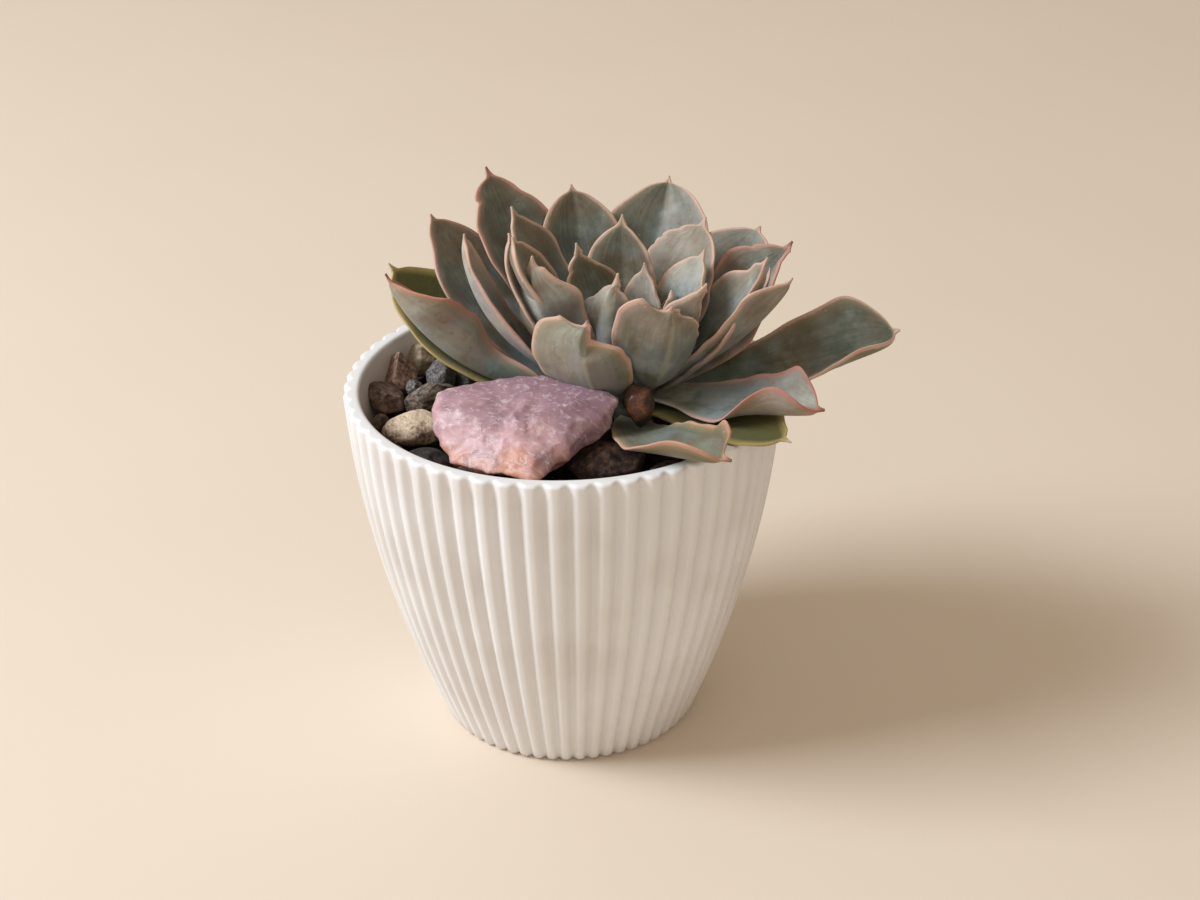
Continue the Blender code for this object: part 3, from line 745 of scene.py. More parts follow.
        gloss = 0.5 + 0.18 * bloom + 0.25 * (grain - 0.5)
        relief = 1.2 * grain + 0.4 * board.cloud(point, self.fine_size) + 1.6 * streak
        return board.finish(base_color=colour, roughness=gloss, normal=board.bump(relief, self.relief_depth),
                            specular_ior_level=0.35, subsurface_weight=0.12,
                            subsurface_radius=(1.0, 0.9, 0.4), subsurface_scale=0.0016, sheen_weight=0.15,
                            sheen_roughness=0.5)


class Side(IntEnum):
    """The two sides of a leaf, with the sign that a distance from its midrib has there."""

    LEFT = 1
    RIGHT = -1


LEFT, RIGHT = Side.LEFT, Side.RIGHT


@dataclass(frozen=True)
class Nick:
    """A small bite out of a leaf's margin, or a bulge where its depth is negative."""

    side: Side
    share: float
    depth: float
    spread: float = 0.02


@dataclass(frozen=True)
class Curl:
    """A stretch of one side of a leaf that turns up more, or down where the turn is negative."""

    side: Side
    share: float
    turn: float
    spread: float = 0.2


@dataclass(frozen=True)
class Leaf:
    """One leaf: its left side is to the left when looking out along it.

    It starts at a height on the stem, at a reach from the stem's axis. Its midrib climbs by its rise and
    bends, sweeps and hooks along its length. Peak, point and neck draw its outline, and cups, lobes, nicks
    and curls shape its sides. Bloom, olive and blush say how powdery, yellow and pink it is. The split makes
    one half of the blade paler and the other darker: partly bloom rubbed off one half, partly painted light
    and painted shade on the two halves of its fold.
    """

    azimuth: float
    rise: float
    length: float
    width: float
    height: float
    bend: float = 15.0
    reach: float = 3.0
    sweep: float = 0.0
    roll: float = 0.0
    twist: float = 0.0
    peak: float = 0.64
    point: float = 0.5
    neck: float = 0.42
    cup_left: float = 22.0
    cup_right: float = 22.0
    lobe_left: float = 0.0
    lobe_right: float = 0.0
    thickness: float = 3.0
    wave: float = 0.8
    waves: float = 1.5
    keel: float = 0.7
    hook: float = 8.0
    spike: float = 2.8
    bloom: float = 0.4
    # split: how much paler one half of the blade is than the other, partly rubbed bloom and partly painted
    # light and shade on the two halves
    split: float = 0.0
    olive: float = 0.0
    blush: float = 0.5
    crease: float = 0.45
    nicks: tuple[Nick, ...] = ()
    curls: tuple[Curl, ...] = ()


OUTER_LEAVES = (
    Leaf(145, 50.5, 70, 27, 102, bend=30, sweep=-15, roll=-8, peak=0.68, point=0.9, neck=0.3, cup_left=20,
         cup_right=25, bloom=0.34, olive=0.1, blush=0.85,
         nicks=(Nick(LEFT, 0.96, -1.8, 0.04), Nick(LEFT, 0.915, 0.9, 0.012), Nick(LEFT, 0.84, -0.8, 0.04),
                Nick(LEFT, 0.45, 1.0, 0.2), Nick(RIGHT, 0.9, 0.8, 0.03))),
    Leaf(162, 39.5, 73, 25, 101, bend=60, roll=-18, peak=0.7, spike=2, bloom=0.52, blush=0.7,
         nicks=(Nick(LEFT, 0.91, 3.2, 0.07), Nick(LEFT, 0.8, 1.2, 0.12), Nick(RIGHT, 0.82, -0.8, 0.12))),
    Leaf(163, 24.5, 75.5, 26, 100, bend=55, roll=-16, neck=0.3, bloom=0.05, olive=1.0, blush=0.6,
         nicks=(Nick(RIGHT, 0.75, -3.0, 0.15), Nick(LEFT, 0.6, -3.5, 0.3)), curls=(Curl(RIGHT, 0.75, 15),)),
    Leaf(180, 29.5, 77, 27, 101, bend=78, roll=5, cup_left=60, cup_right=15, thickness=1.2, keel=0.3,
         bloom=0.68, olive=0.35, blush=1.0,
         nicks=(Nick(LEFT, 0.87, -5.5, 0.1), Nick(LEFT, 0.9, 0.8), Nick(LEFT, 0.83, 0.6),
                Nick(LEFT, 0.66, -1.5, 0.06), Nick(LEFT, 0.5, 5.0, 0.13)),
         curls=(Curl(LEFT, 0.62, 115, 0.3),)),
    Leaf(182, 47.5, 66.5, 17, 103, bend=86, cup_left=50, cup_right=50, thickness=1.0, keel=0.2, spike=2,
         bloom=0.92, blush=0.7),
    Leaf(116, 53, 55, 25, 104, bend=20, sweep=-22, point=0.4, crease=0.8, spike=2, bloom=0.27, split=0.22,
         blush=0.6),
    Leaf(73, 51.5, 56.5, 32, 104, bend=20, sweep=-10, point=0.15, crease=0.85, spike=2, bloom=0.42,
         split=0.5, blush=0.6, nicks=(Nick(LEFT, 0.93, 1.2, 0.06),)),
    Leaf(28, 45.5, 52.5, 26, 103, bend=25, roll=25, peak=0.72, point=0.4, spike=1.6, bloom=0.5, blush=0.7,
         nicks=(Nick(LEFT, 0.8, -1.2, 0.1),)),
    Leaf(12, 42.5, 56, 22, 102, bend=25, roll=48, peak=0.7, point=0.4, cup_right=10, bloom=0.5, blush=0.9,
         nicks=(Nick(LEFT, 0.8, -2.0, 0.1), Nick(LEFT, 0.9, 0.8, 0.012), Nick(RIGHT, 0.86, 6.0, 0.25)),
         curls=(Curl(RIGHT, 0.85, 35),)),
    Leaf(-15, 42, 53, 20, 103, bend=34, reach=4, peak=0.7, cup_left=20, cup_right=85, thickness=1.0, keel=0.2,
         spike=1.8, bloom=0.5, olive=0.15, blush=0.6, nicks=(Nick(RIGHT, 0.88, -3.0, 0.1),)),
    Leaf(3, 10.3, 70.7, 26.5, 103, bend=14, sweep=8, roll=40, peak=0.8, point=0.35, neck=0.3, cup_left=8,
         cup_right=70, thickness=2.2, spike=1.8, bloom=0.35, olive=0.25, blush=0.6,
         curls=(Curl(RIGHT, 0.85, 50),),
         nicks=(Nick(LEFT, 0.42, 3.0, 0.22), Nick(LEFT, 0.87, -2.0, 0.08), Nick(RIGHT, 0.72, 0.8, 0.02))),
    Leaf(-29, 6.5, 54, 22, 101.5, bend=6, sweep=18, roll=18, twist=25, peak=0.8, point=0.3, cup_left=30,
         cup_right=95, thickness=0.9, keel=0.2, spike=2, bloom=0.7, olive=0.2, blush=1.0,
         nicks=(Nick(LEFT, 0.88, -1.5, 0.06), Nick(LEFT, 0.5, 1.5, 0.2)),
         curls=(Curl(RIGHT, 0.82, 85, 0.16), Curl(RIGHT, 0.45, -60, 0.2), Curl(LEFT, 0.9, 30, 0.1))),
    Leaf(-40, 5, 50, 22, 97.5, bend=-16, roll=3, peak=0.76, point=0.2, cup_right=0, thickness=1.6, bloom=0,
         olive=1.15, blush=0.6, nicks=(Nick(LEFT, 0.93, 2.0, 0.06),)),
    Leaf(-66, 13, 60, 20, 93.5, bend=-10, sweep=70, roll=11, twist=42, peak=0.68, point=0.1, cup_left=12,
         cup_right=35, lobe_left=3, thickness=1.0, keel=0.3, wave=0.5, bloom=0.4, olive=0.45, blush=0.9,
         nicks=(Nick(LEFT, 0.93, -3.0, 0.05),),
         curls=(Curl(RIGHT, 0.91, 112, 0.22), Curl(LEFT, 0.93, 60, 0.1))),
)

REAR_LEAVES = (
    Leaf(82, 22, 62, 24, 101, bend=30, bloom=0.3, olive=0.2, blush=0.7),
    Leaf(118, 20, 60, 23, 101, bend=30, bloom=0.25, olive=0.3, blush=0.8),
    Leaf(54, 18, 57, 22, 101, bend=30, bloom=0.35, olive=0.15, blush=0.7),
    Leaf(138, 25, 61, 23, 101, bend=30, bloom=0.25, olive=0.25, blush=0.8),
    Leaf(100, 33, 50, 20, 103, bend=25, bloom=0.4, blush=0.5),
)

INNER_LEAVES = (
    Leaf(158, 54, 54, 19, 106, bend=30, roll=-5, point=0.9, bloom=0.4, blush=0.35,
         nicks=(Nick(RIGHT, 0.82, -1.5, 0.1),)),
    Leaf(182, 57, 51, 20, 106, bend=50, reach=5, roll=-25, spike=2, bloom=0.3, blush=0.4,
         nicks=(Nick(RIGHT, 0.88, 2.5, 0.12),)),
    Leaf(195, 54.5, 53, 18, 107, bend=40, reach=2, roll=-28, cup_left=40, cup_right=40, spike=2, bloom=0.35,
         blush=0.4, nicks=(Nick(LEFT, 0.55, 4.5, 0.25),)),
    Leaf(199, 60, 47, 18, 105, bend=50, reach=5, roll=52, point=0.9, lobe_left=1, keel=1.1,
         bloom=0.75, blush=0.5, nicks=(Nick(RIGHT, 0.9, 1.5, 0.06), Nick(LEFT, 0.74, -2.3, 0.1))),
    Leaf(100, 77, 40.5, 21, 108, reach=2, sweep=-40, roll=-8, peak=0.7, point=1.0, thickness=2.4,
         crease=0.8, bloom=0.4, split=0.12, blush=0.4,
         nicks=(Nick(RIGHT, 0.72, 2.0, 0.2), Nick(LEFT, 0.4, 3.0, 0.3))),
    Leaf(172, 71.5, 37, 18, 108, roll=-45, peak=0.7, point=0.9, thickness=2, bloom=0.28, blush=0.3,
         nicks=(Nick(RIGHT, 0.9, 2.2, 0.15), Nick(LEFT, 0.8, 1.0, 0.2), Nick(LEFT, 0.88, 1.0, 0.02),
                Nick(LEFT, 0.4, 5.0, 0.22))),
    Leaf(236, 94.3, 33.8, 21, 104, bend=25, reach=9, sweep=10, peak=0.74, point=0.15, cup_left=70,
         cup_right=15, lobe_right=-2.2, thickness=2.4, keel=1.8, crease=0.9, spike=3.4, bloom=0.7, split=0.35,
         blush=0.4,
         nicks=(Nick(RIGHT, 0.72, -1.5, 0.18), Nick(RIGHT, 0.93, 0.8, 0.02), Nick(LEFT, 0.75, 6.0, 0.4))),
    Leaf(55, 84.5, 27, 12, 109, point=0.9, thickness=2.0, bloom=1.0, blush=0.2),
    Leaf(6, 64.5, 37.5, 19, 107, roll=25, point=0.6, thickness=2.4, bloom=0.85, blush=0.25),
    Leaf(-42, 55.5, 39.5, 18, 107, roll=-25, point=0.5, thickness=2.0, bloom=0.5, blush=0.45,
         nicks=(Nick(LEFT, 0.84, 5.0, 0.3), Nick(RIGHT, 0.9, 1.8, 0.1), Nick(RIGHT, 0.5, 4.0, 0.22))),
    Leaf(12, 57, 21.5, 12, 110, roll=10, point=0.0, peak=0.6, hook=40, thickness=1.8, spike=0.8, bloom=0.95,
         blush=0.2),
    Leaf(36, 61, 44.5, 25, 106, roll=15, peak=0.72, bloom=0.68, blush=0.5,
         nicks=(Nick(RIGHT, 0.75, 2.8, 0.2), Nick(LEFT, 0.93, 0.9), Nick(LEFT, 0.84, 0.8, 0.015),
                Nick(LEFT, 0.78, 0.5))),
    Leaf(-8, 51.5, 49.5, 22, 103, bend=30, reach=5, roll=28, cup_left=20, cup_right=55, bloom=0.5, blush=0.7,
         nicks=(Nick(LEFT, 0.9, 2.5, 0.06),)),
    Leaf(240, 60.3, 34.9, 32, 103, bend=75, reach=8, roll=12, peak=0.7, point=0.0, neck=0.15, cup_left=30,
         cup_right=10, lobe_left=1.8, lobe_right=3.2, keel=1.2, spike=1.6, bloom=0.62, olive=0.38, blush=0.75,
         nicks=(Nick(LEFT, 0.6, 4.5, 0.25), Nick(LEFT, 0.87, 13.0, 0.11), Nick(LEFT, 1.0, 4.0, 0.03),
                Nick(RIGHT, 0.95, 1.2, 0.02), Nick(LEFT, 0.67, 1.8, 0.06))),
    Leaf(-66, 61, 37.4, 28.5, 103, bend=30, reach=6, roll=-8, peak=0.72, point=0.0, neck=0.1, cup_left=36,
         cup_right=36, lobe_left=-2, lobe_right=4.5, keel=1.2, crease=0.7, spike=1.4, bloom=0.48, blush=0.7,
         nicks=(Nick(LEFT, 0.8, 4.0, 0.25), Nick(LEFT, 0.97, 1.2, 0.015))),
)

HEART_LEAVES = (
    Leaf(0, 71, 22, 8, 109, point=0.3, peak=0.6, hook=20, thickness=1.6, spike=1.0, bloom=0.8, blush=0.15),
)


@dataclass
class Blade:
    """The finely drawn skin of one leaf.

    Its rows go by the share of the length from the root, and its columns from the midrib, 0, to a margin, 1.
    """

    leaf: Leaf
    stem: tuple[float, float]
    seed: int
    stations: int = 42
    crowding: float = 1.4
    spike_rows: tuple[float, ...] = (0.15, 0.32, 0.5, 0.68, 0.84, 0.95)
    columns: tuple[float, ...] = (0.0, 0.05, 0.12, 0.25, 0.38, 0.5, 0.61, 0.71, 0.8, 0.87, 0.925, 0.96, 0.98,
                                  0.992, 1.0)
    rib_steps: int = 161
    section_steps: int = 81
    unfolding: tuple[float, float] = (0.05, 0.5)
    root_cup: float = 0.35
    crease_width: float = 0.09
    keel_width: float = 0.45
    growing_power: float = 1.5
    closing_power: float = 2.4
    pointing_power: float = 0.85
    pointing_swell: float = 0.7
    hook_start: float = 0.9
    hook_luck: tuple[float, float] = (-0.3, 1.0)
    margin: float = 0.6
    spike_root: float = 1.3
    spike_tip: float = 0.2
    spike_power: float = 1.6
    left_margin_phase: float = 2.1
    ripple: float = 0.3
    ripple_turns: tuple[float, float] = (3.0, 8.0)
    wander: float = 0.018
    wander_turns: tuple[float, float] = (3.0, 7.0)
    split_width: float = 0.08

    def __post_init__(self) -> None:
        """Work out the rows and columns of the skin, closest at the margins and at the tip."""
        self.half = np.array(self.columns)
        self.spike_share = self.leaf.spike / self.leaf.length
        blade = 1.0 - (1.0 - np.linspace(0.0, 1.0, self.stations)) ** self.crowding
        spike = 1.0 - self.spike_share * (1.0 - np.array(self.spike_rows))
        self.shares = np.concatenate([blade * (1.0 - self.spike_share), spike])
        self.blade = np.concatenate([blade, np.ones(len(spike))])
        self.chance = random.Random(self.seed)
        self.rib, self.outward, self.left, self.face, self.tip = self._frames()

    def _sway(self, cycles: tuple[float, float], count: int = 3) -> np.ndarray:
        """Draw an uneven wave along the blade, between about -1 and 1."""
        waves = [(self.chance.uniform(*cycles), self.chance.uniform(0, FULL_TURN)) for _ in range(count)]
        return sum(np.sin(FULL_TURN * turns * self.blade + phase) for turns, phase in waves) / count

    def _frames(self) -> tuple[np.ndarray, ...]:
        """Follow the midrib.

        Returns:
            Its points, its outward, left and upper directions by rows, and its tip.
        """
        leaf = self.leaf
        fine = np.linspace(0.0, 1.0, self.rib_steps)
        hook = leaf.hook * self.chance.uniform(*self.hook_luck) * ease(self.hook_start, 1.0, fine)
        climb = np.radians(leaf.rise + leaf.bend * (fine - 0.5) + hook)
        course = np.radians(leaf.azimuth + leaf.sweep * (fine - 0.5))
        outward = np.stack([np.cos(climb) * np.cos(course), np.cos(climb) * np.sin(course), np.sin(climb)], 1)
        upper = np.stack([-np.sin(climb) * np.cos(course), -np.sin(climb) * np.sin(course), np.cos(climb)], 1)
        step = leaf.length / (len(fine) - 1)
        rib = np.concatenate([np.zeros((1, 3)), np.cumsum((outward[1:] + outward[:-1]) / 2.0 * step, 0)])
        start = math.radians(leaf.azimuth)
        rib += (self.stem[0] + leaf.reach * math.cos(start), self.stem[1] + leaf.reach * math.sin(start),
                leaf.height)
        sideways = np.cross(upper, outward)
        turn = np.radians(leaf.roll + leaf.twist * (fine - 0.5))[:, None]
        left = np.cos(turn) * sideways + np.sin(turn) * upper
        face = np.cos(turn) * upper - np.sin(turn) * sideways
        picked = (np.stack([np.interp(self.shares, fine, line[:, k]) for k in range(3)], 1)
                  for line in (rib, outward, left, face))
        return (*picked, rib[-1])

    def half_width(self, side: Side) -> np.ndarray:
        """Draw the outline of one side.

        Args:
            side: The side.

        Returns:
            Half the blade's width, by rows.
        """
        leaf = self.leaf
        share = self.shares
        widest = leaf.peak * (1.0 - self.spike_share)
        grown = np.sin(np.clip(share / widest, 0, 1) * math.pi / 2.0) ** self.growing_power
        growing = leaf.neck + (1.0 - leaf.neck) * grown
        past = np.clip((share - widest) / (1.0 - self.spike_share - widest), 0, 1)
        closing = (1.0 - leaf.point) * np.sqrt(np.clip(1.0 - past ** self.closing_power, 0, 1))
        closing += leaf.point * (1.0 - past) ** self.pointing_power * (1.0 + self.pointing_swell * past)
        body = leaf.width / 2.0 * np.where(share < widest, growing, closing)
        body *= 1.0 + self.wander * self._sway(self.wander_turns) * ease(0.2, 0.6, self.blade)
        bitten = sum((nick.depth * bell(self.blade, nick.share, nick.spread)
                      for nick in leaf.nicks if nick.side == side), np.zeros(len(share)))
        bitten *= ease(1.0, 0.985, self.blade)
        run = np.clip((1.0 - share) / self.spike_share, 0.0, 1.6)
        spike = self.spike_tip + (self.spike_root - self.spike_tip) * run ** self.spike_power
        pointed = (np.maximum(body, 0.0) ** 3 + spike ** 3) ** (1.0 / 3.0)
        return np.maximum(np.where(share < widest, body, pointed) - bitten, np.minimum(spike, 1.0))

    def _section(self, side: Side) -> tuple[np.ndarray, np.ndarray, np.ndarray]:
        """Bend one side of the blade up from its midrib.

        Args:
            side: The side.

        Returns:
            How far out, how far up and how steeply tilted the skin is, by rows and columns, for a half
            width of 1.
        """
        leaf = self.leaf
        full_cup = leaf.cup_left if side == LEFT else leaf.cup_right
        cup = full_cup * (self.root_cup + (1.0 - self.root_cup) * ease(*self.unfolding, self.blade))
        for curl in leaf.curls:
            if curl.side == side:
                cup = cup + curl.turn * bell(self.blade, curl.share, curl.spread)
        fine = np.linspace(0.0, 1.0, self.section_steps)
        creased = leaf.crease * (1.0 - np.exp(-fine / self.crease_width))
        tilt = np.radians(cup)[:, None] * ((creased + (1.0 - leaf.crease) * fine) / (1.0 + leaf.crease))
        bent = []
        for slope in (np.cos(tilt), np.sin(tilt)):
            middle = (slope[:, 1:] + slope[:, :-1]) / 2.0 / (len(fine) - 1)
            bent.append(np.concatenate([np.zeros((len(cup), 1)), np.cumsum(middle, 1)], 1))
        out, up, tilted = (np.stack([np.interp(self.half, fine, row) for row in line])
                           for line in (*bent, tilt))
        return out, up, tilted

    def _thickness(self, width: np.ndarray) -> np.ndarray:
        """Work out how thick the leaf is from its midrib to its margin.

        Args:
            width: Half the blade's width, by rows.

        Returns:
            The thickness by rows and columns.
        """
        leaf = self.leaf
        body = leaf.thickness * (1.0 - 0.5 * self.blade[:, None] ** 2) * np.clip(1.0 - self.half ** 2.2, 0, 1)
        keel = leaf.keel * ease(0.2, 0.7, self.blade) * (1.0 - 0.6 * ease(0.9, 1.0, self.blade))
        body = body + keel[:, None] * np.clip(1.0 - self.half / self.keel_width, 0.0, 1.0) ** 1.4
        return body * np.clip(width / (leaf.width * 0.25), 0.1, 1) + self.margin

    def _side(self, side: Side) -> tuple[np.ndarray, np.ndarray, np.ndarray]:
        """Work out the two faces of one side of the leaf.

        Args:
            side: The side.

        Returns:
            The upper and the lower points, and the distance from the margin, by rows and columns.
        """
        leaf = self.leaf
        out, up, tilt = self._section(side)
        width = self.half_width(side)[:, None]
        phase = self.left_margin_phase if side == LEFT else 0.0
        swing = np.sin(FULL_TURN * leaf.waves * self.blade + phase)[:, None]
        uneven = self.ripple * self.half ** 4 * self._sway(self.ripple_turns)[:, None]
        wave = (leaf.wave * self.half ** 2 * swing + uneven) * ease(*self.unfolding, self.blade)[:, None]
        wave = wave * np.clip(width / (leaf.width * 0.3), 0, 1)
        lobe = (ease(0.5, 0.85, self.blade) * (1.0 - ease(0.96, 1.0, self.blade)))[:, None]
        ahead = (leaf.lobe_left if side == LEFT else leaf.lobe_right) * lobe * self.half ** 1.5
        face, left = self.face[:, None], self.left[:, None]
        normal = np.cos(tilt)[..., None] * face - (side * np.sin(tilt))[..., None] * left
        point = self.rib[:, None] + (width * out * side)[..., None] * left + (width * up)[..., None] * face
        point = point + wave[..., None] * normal + ahead[..., None] * self.outward[:, None]
        inset = width * (1.0 - self.half)
        soft = self.margin / 2.0
        rounding = soft - np.sqrt(np.clip(soft ** 2 - np.clip(soft - inset, 0, None) ** 2, 0, None))
        body = self._thickness(width) - rounding
        return point - rounding[..., None] * normal, point - body[..., None] * normal, inset

    def mesh(self, name: str) -> bpy.types.Mesh:
        """Make the leaf's closed skin and store what its material reads.

        Args:
            name: The mesh's name.

        Returns:
            The mesh.
        """
        leaf = self.leaf
        halves = {side: self._side(side) for side in Side}
        upper, lower, inset = (np.concatenate([right[:, :0:-1], left], 1)
                               for right, left in zip(halves[RIGHT], halves[LEFT]))
        back = slice(-2, 0, -1)
        mesh = loft(name, np.concatenate([upper, lower[:, back]], 1), self.rib[0], self.tip)
        rows, columns = inset.shape
        across = np.concatenate([-self.half[:0:-1], self.half])
        side = np.concatenate([across, across[back]])
        face = np.concatenate([[0.5], np.zeros(columns - 2), [0.5], np.ones(columns - 2)])
        # the split takes bloom off one half and adds it to the other: partly rubbed bloom, partly painted
        # shade on one half and painted light on the other
        bloom = leaf.bloom - leaf.split * 0.5 * np.clip(side / self.split_width, -1, 1)
        self._store(mesh, "span", np.repeat(self.shares, len(face)), 0.0, 1.0)
        self._store(mesh, "reach", np.concatenate([inset, inset[:, back]], 1), 5.0, 0.0)
        self._store(mesh, "side", np.tile(side, rows), 0.0, 0.0)
        self._store(mesh, "back", np.tile(face, rows), 0.5, 0.5)
        self._store(mesh, "bloom", np.tile(bloom, rows), leaf.bloom, leaf.bloom)
        for look, value in (("olive", leaf.olive), ("blush", leaf.blush)):
            self._store(mesh, look, np.full(rows * len(face), value), value, value)
        return mesh

    def _store(self, mesh: bpy.types.Mesh, name: str, values: np.ndarray, start: float, end: float) -> None:
        """Store one value for each point, with those of the two ends last."""
        keep_values(mesh, name, np.concatenate([values.ravel(), [start, end]]))


@dataclass
class Rosette:
    """The short stem and all the leaves that grow from it."""

    stem: tuple[float, float] = STEM
    stem_profile: tuple[tuple[float, float], ...] = ((62.0, 5.5), (92.0, 5.5), (101.0, 8.5), (105.0, 7.65),
                                                     (109.0, 4.675), (111.0, 1.0))
    stem_inset: float = 0.25
    stem_rows: int = 60
    stem_columns: int = 40
    scar_depth: float = 0.2
    scar_turns: float = 2.1
    scar_tilt: float = 0.4
    looks: dict[str, float] = field(default_factory=lambda: {
        "span": 0.2, "reach": 6.0, "side": 0.5, "back": 0.5, "bloom": 0.15, "olive": 0.4, "blush": 0.3})

    def stem_mesh(self) -> bpy.types.Mesh:
        """Turn the stem with the low rings that old leaves left on it.

        Returns:
            The stem's mesh, which holds what the leaves' skin reads.
        """
        angle = around(self.stem_columns)
        heights, widths = zip(*self.stem_profile)
        foot, top = heights[0], heights[-1]
        levels = np.linspace(foot, top - 1.0, self.stem_rows)
        scars = self.scar_depth * np.sin(levels * self.scar_turns)
        radii = np.interp(levels, heights, widths) - self.stem_inset + scars
        rings = [ring(radius, angle, level + self.scar_tilt * np.sin(3.0 * angle + level)) + (*self.stem, 0.0)
                 for radius, level in zip(radii, levels)]
        mesh = loft("stem", np.array(rings), (*self.stem, foot), (*self.stem, top))
        for name, value in self.looks.items():
            keep_values(mesh, name, np.full(len(mesh.vertices), value))
        return mesh

    def build(self) -> None:
        """Add the stem and the leaves."""
        skin = LeafSkin().material()
        add_piece(self.stem_mesh(), skin, ["echeveria"])
        leaves = OUTER_LEAVES + REAR_LEAVES + INNER_LEAVES + HEART_LEAVES
        for index, leaf in enumerate(leaves, start=1):
            add_piece(Blade(leaf, self.stem, index).mesh(f"leaf_{index:02d}"), skin, ["echeveria"])


# Stones

def traced_ball(tree: BVHTree, middle: Vector, half: np.ndarray,
                divisions: int) -> tuple[np.ndarray, np.ndarray, list[list[int]]]:
    """Look outwards from the middle of a solid in every direction.

    Args:
        tree: The solid's faces, in metres.
        middle: Its middle, in metres.
        half: Half its size along each axis, in millimetres.
        divisions: How often the faces of the ball of directions are split.

    Returns:
        The surface's points about the middle in millimetres, the edges between them and their faces.
    """
    points, edges, faces = ball(divisions)
    rays = points * half
    rays /= np.linalg.norm(rays, axis=1)[:, None]
    reach = np.array([tree.ray_cast(middle, Vector(ray))[3] or 0.0 for ray in rays]) / MM
    return rays * reach[:, None], edges, faces


def towards(turn: float, lift: float) -> Vector:
    """Return the direction that a turn about the upright and a lift above the level give, in degrees."""
    course, climb = math.radians(turn), math.radians(lift)
    return Vector((math.cos(course) * math.cos(climb), math.sin(course) * math.cos(climb), math.sin(climb)))


@dataclass(frozen=True)
class Shape:
    """How a stone departs from its plain solid: swollen from its foot up, moved, cut and pushed out.

    A cut by a plane is a turn, a lift and a depth. A push is a turn, a lift, a length and the angle that it
    spreads over.
    """

    swell: tuple[float, float, float] = (1.08, 1.08, 1.15)
    move: tuple[float, float, float] = (0.0, 0.0, 0.0)
    cuts: tuple[tuple[float, float, float], ...] = ()
    pushes: tuple[tuple[float, float, float, float], ...] = ()


@dataclass
class Lump:
    """A stone drawn finely round the plain solid that it stands for."""

    node: str
    shape: Shape = Shape()
    divisions: int = 5
    smoothing: int = 2
    chips: int = 7
    chip_depths: tuple[float, float] = (0.74, 0.97)
    softening: int = 2
    scoops: tuple[tuple[float, float], ...] = ((3.6, 0.16),)
    rough: float = 0.16
    rough_size: float = 1.6
    pull: float = 0.6
    scoop_bend: float = 0.35
    scoop_bend_size: float = 1.6
    scoop_reach: float = 0.75

    def solid(self) -> BVHTree:
        """Find the faces that the stone follows.

        Returns:
            The faces of its plain solid, in metres.
        """
        mesh = frame["nodes"][self.node].data
        return BVHTree.FromPolygons([vertex.co for vertex in mesh.vertices],
                                    [tuple(face.vertices) for face in mesh.polygons])

    def surface(self, chance: random.Random) -> tuple[np.ndarray, list]:
        """Round the solid off, cut flat faces on it, swell it and roughen its skin.

        Args:
            chance: Where the draws come from.

        Returns:
            The finished points in millimetres, and the faces between them.
        """
        low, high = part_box(self.node)
        middle = (low + high) / 2.0
        half = np.array(high - low) / 2.0 / MM
        points, edges, faces = traced_ball(self.solid(), middle, half, self.divisions)
        share = self._smoothed(points, edges, self.smoothing) / half
        planes = [(Vector([chance.uniform(-1, 1) for _ in range(3)]).normalized(),
                   chance.uniform(*self.chip_depths)) for _ in range(self.chips)]
        planes += [(towards(turn, lift), depth) for turn, lift, depth in self.shape.cuts]
        for axis, depth in planes:
            share = share - np.clip(share @ np.array(axis) - depth, 0, None)[:, None] * np.array(axis)
        points = self._smoothed(share * half * self.shape.swell, edges, self.softening)
        points[:, 2] += half[2] * (self.shape.swell[2] - 1.0)
        for turn, lift, length, spread in self.shape.pushes:
            axis = np.array(towards(turn, lift))
            along = points @ axis / np.linalg.norm(points, axis=1)
            angle = np.degrees(np.arccos(np.clip(along, -1.0, 1.0)))
            points = points + length * bell(angle, 0.0, spread)[:, None] * axis
        offset = Vector([chance.uniform(0, 90) for _ in range(3)])
        away = points / np.maximum(np.linalg.norm(points, axis=1), 0.01)[:, None]
        lower = np.array([self.relief(Vector(point) + offset) for point in points])
        return points - away * lower[:, None] + np.array(middle) / MM + self.shape.move, faces

    def _smoothed(self, points: np.ndarray, edges: np.ndarray, rounds: int) -> np.ndarray:
        """Draw every point towards its neighbours.

        Args:
            points: The points.
            edges: The edges between them.
            rounds: How many times they are drawn.

        Returns:
            The new points.
        """
        degree = np.bincount(edges.ravel(), minlength=len(points))[:, None]
        for _ in range(rounds):
            total = np.zeros_like(points)
            np.add.at(total, edges[:, 0], points[edges[:, 1]])
            np.add.at(total, edges[:, 1], points[edges[:, 0]])
            points = (1.0 - self.pull) * points + self.pull * total / degree
        return points

    def relief(self, place: Vector) -> float:
        """Find how far the surface lies below the cut solid.

        Args:
            place: A point on it.

        Returns:
            The depth.
        """
        eddy = noise.noise_vector(place / (self.scoop_bend_size * self.rough_size))
        bent = place + self.scoop_bend * self.rough_size * eddy
        depth = self.rough * (0.5 + 0.5 * noise.fractal(place / self.rough_size, 0.8, 2.1, 4))
        for size, scoop in self.scoops:
            near = noise.voronoi(bent / size)[0][0]
            depth += scoop * max(1.0 - (near / self.scoop_reach) ** 2, 0.0)
        return depth

    def build(self, name: str, finish: bpy.types.Material, slot: str, seed: int) -> None:
        """Add the stone.

        Args:
            name: The piece's name.
            finish: Its material.
            slot: The record's material slot; not used.
            seed: Seed of its chips.
        """
        points, faces = self.surface(random.Random(seed))
        add_piece(new_mesh(name, points, faces), finish, [self.node])


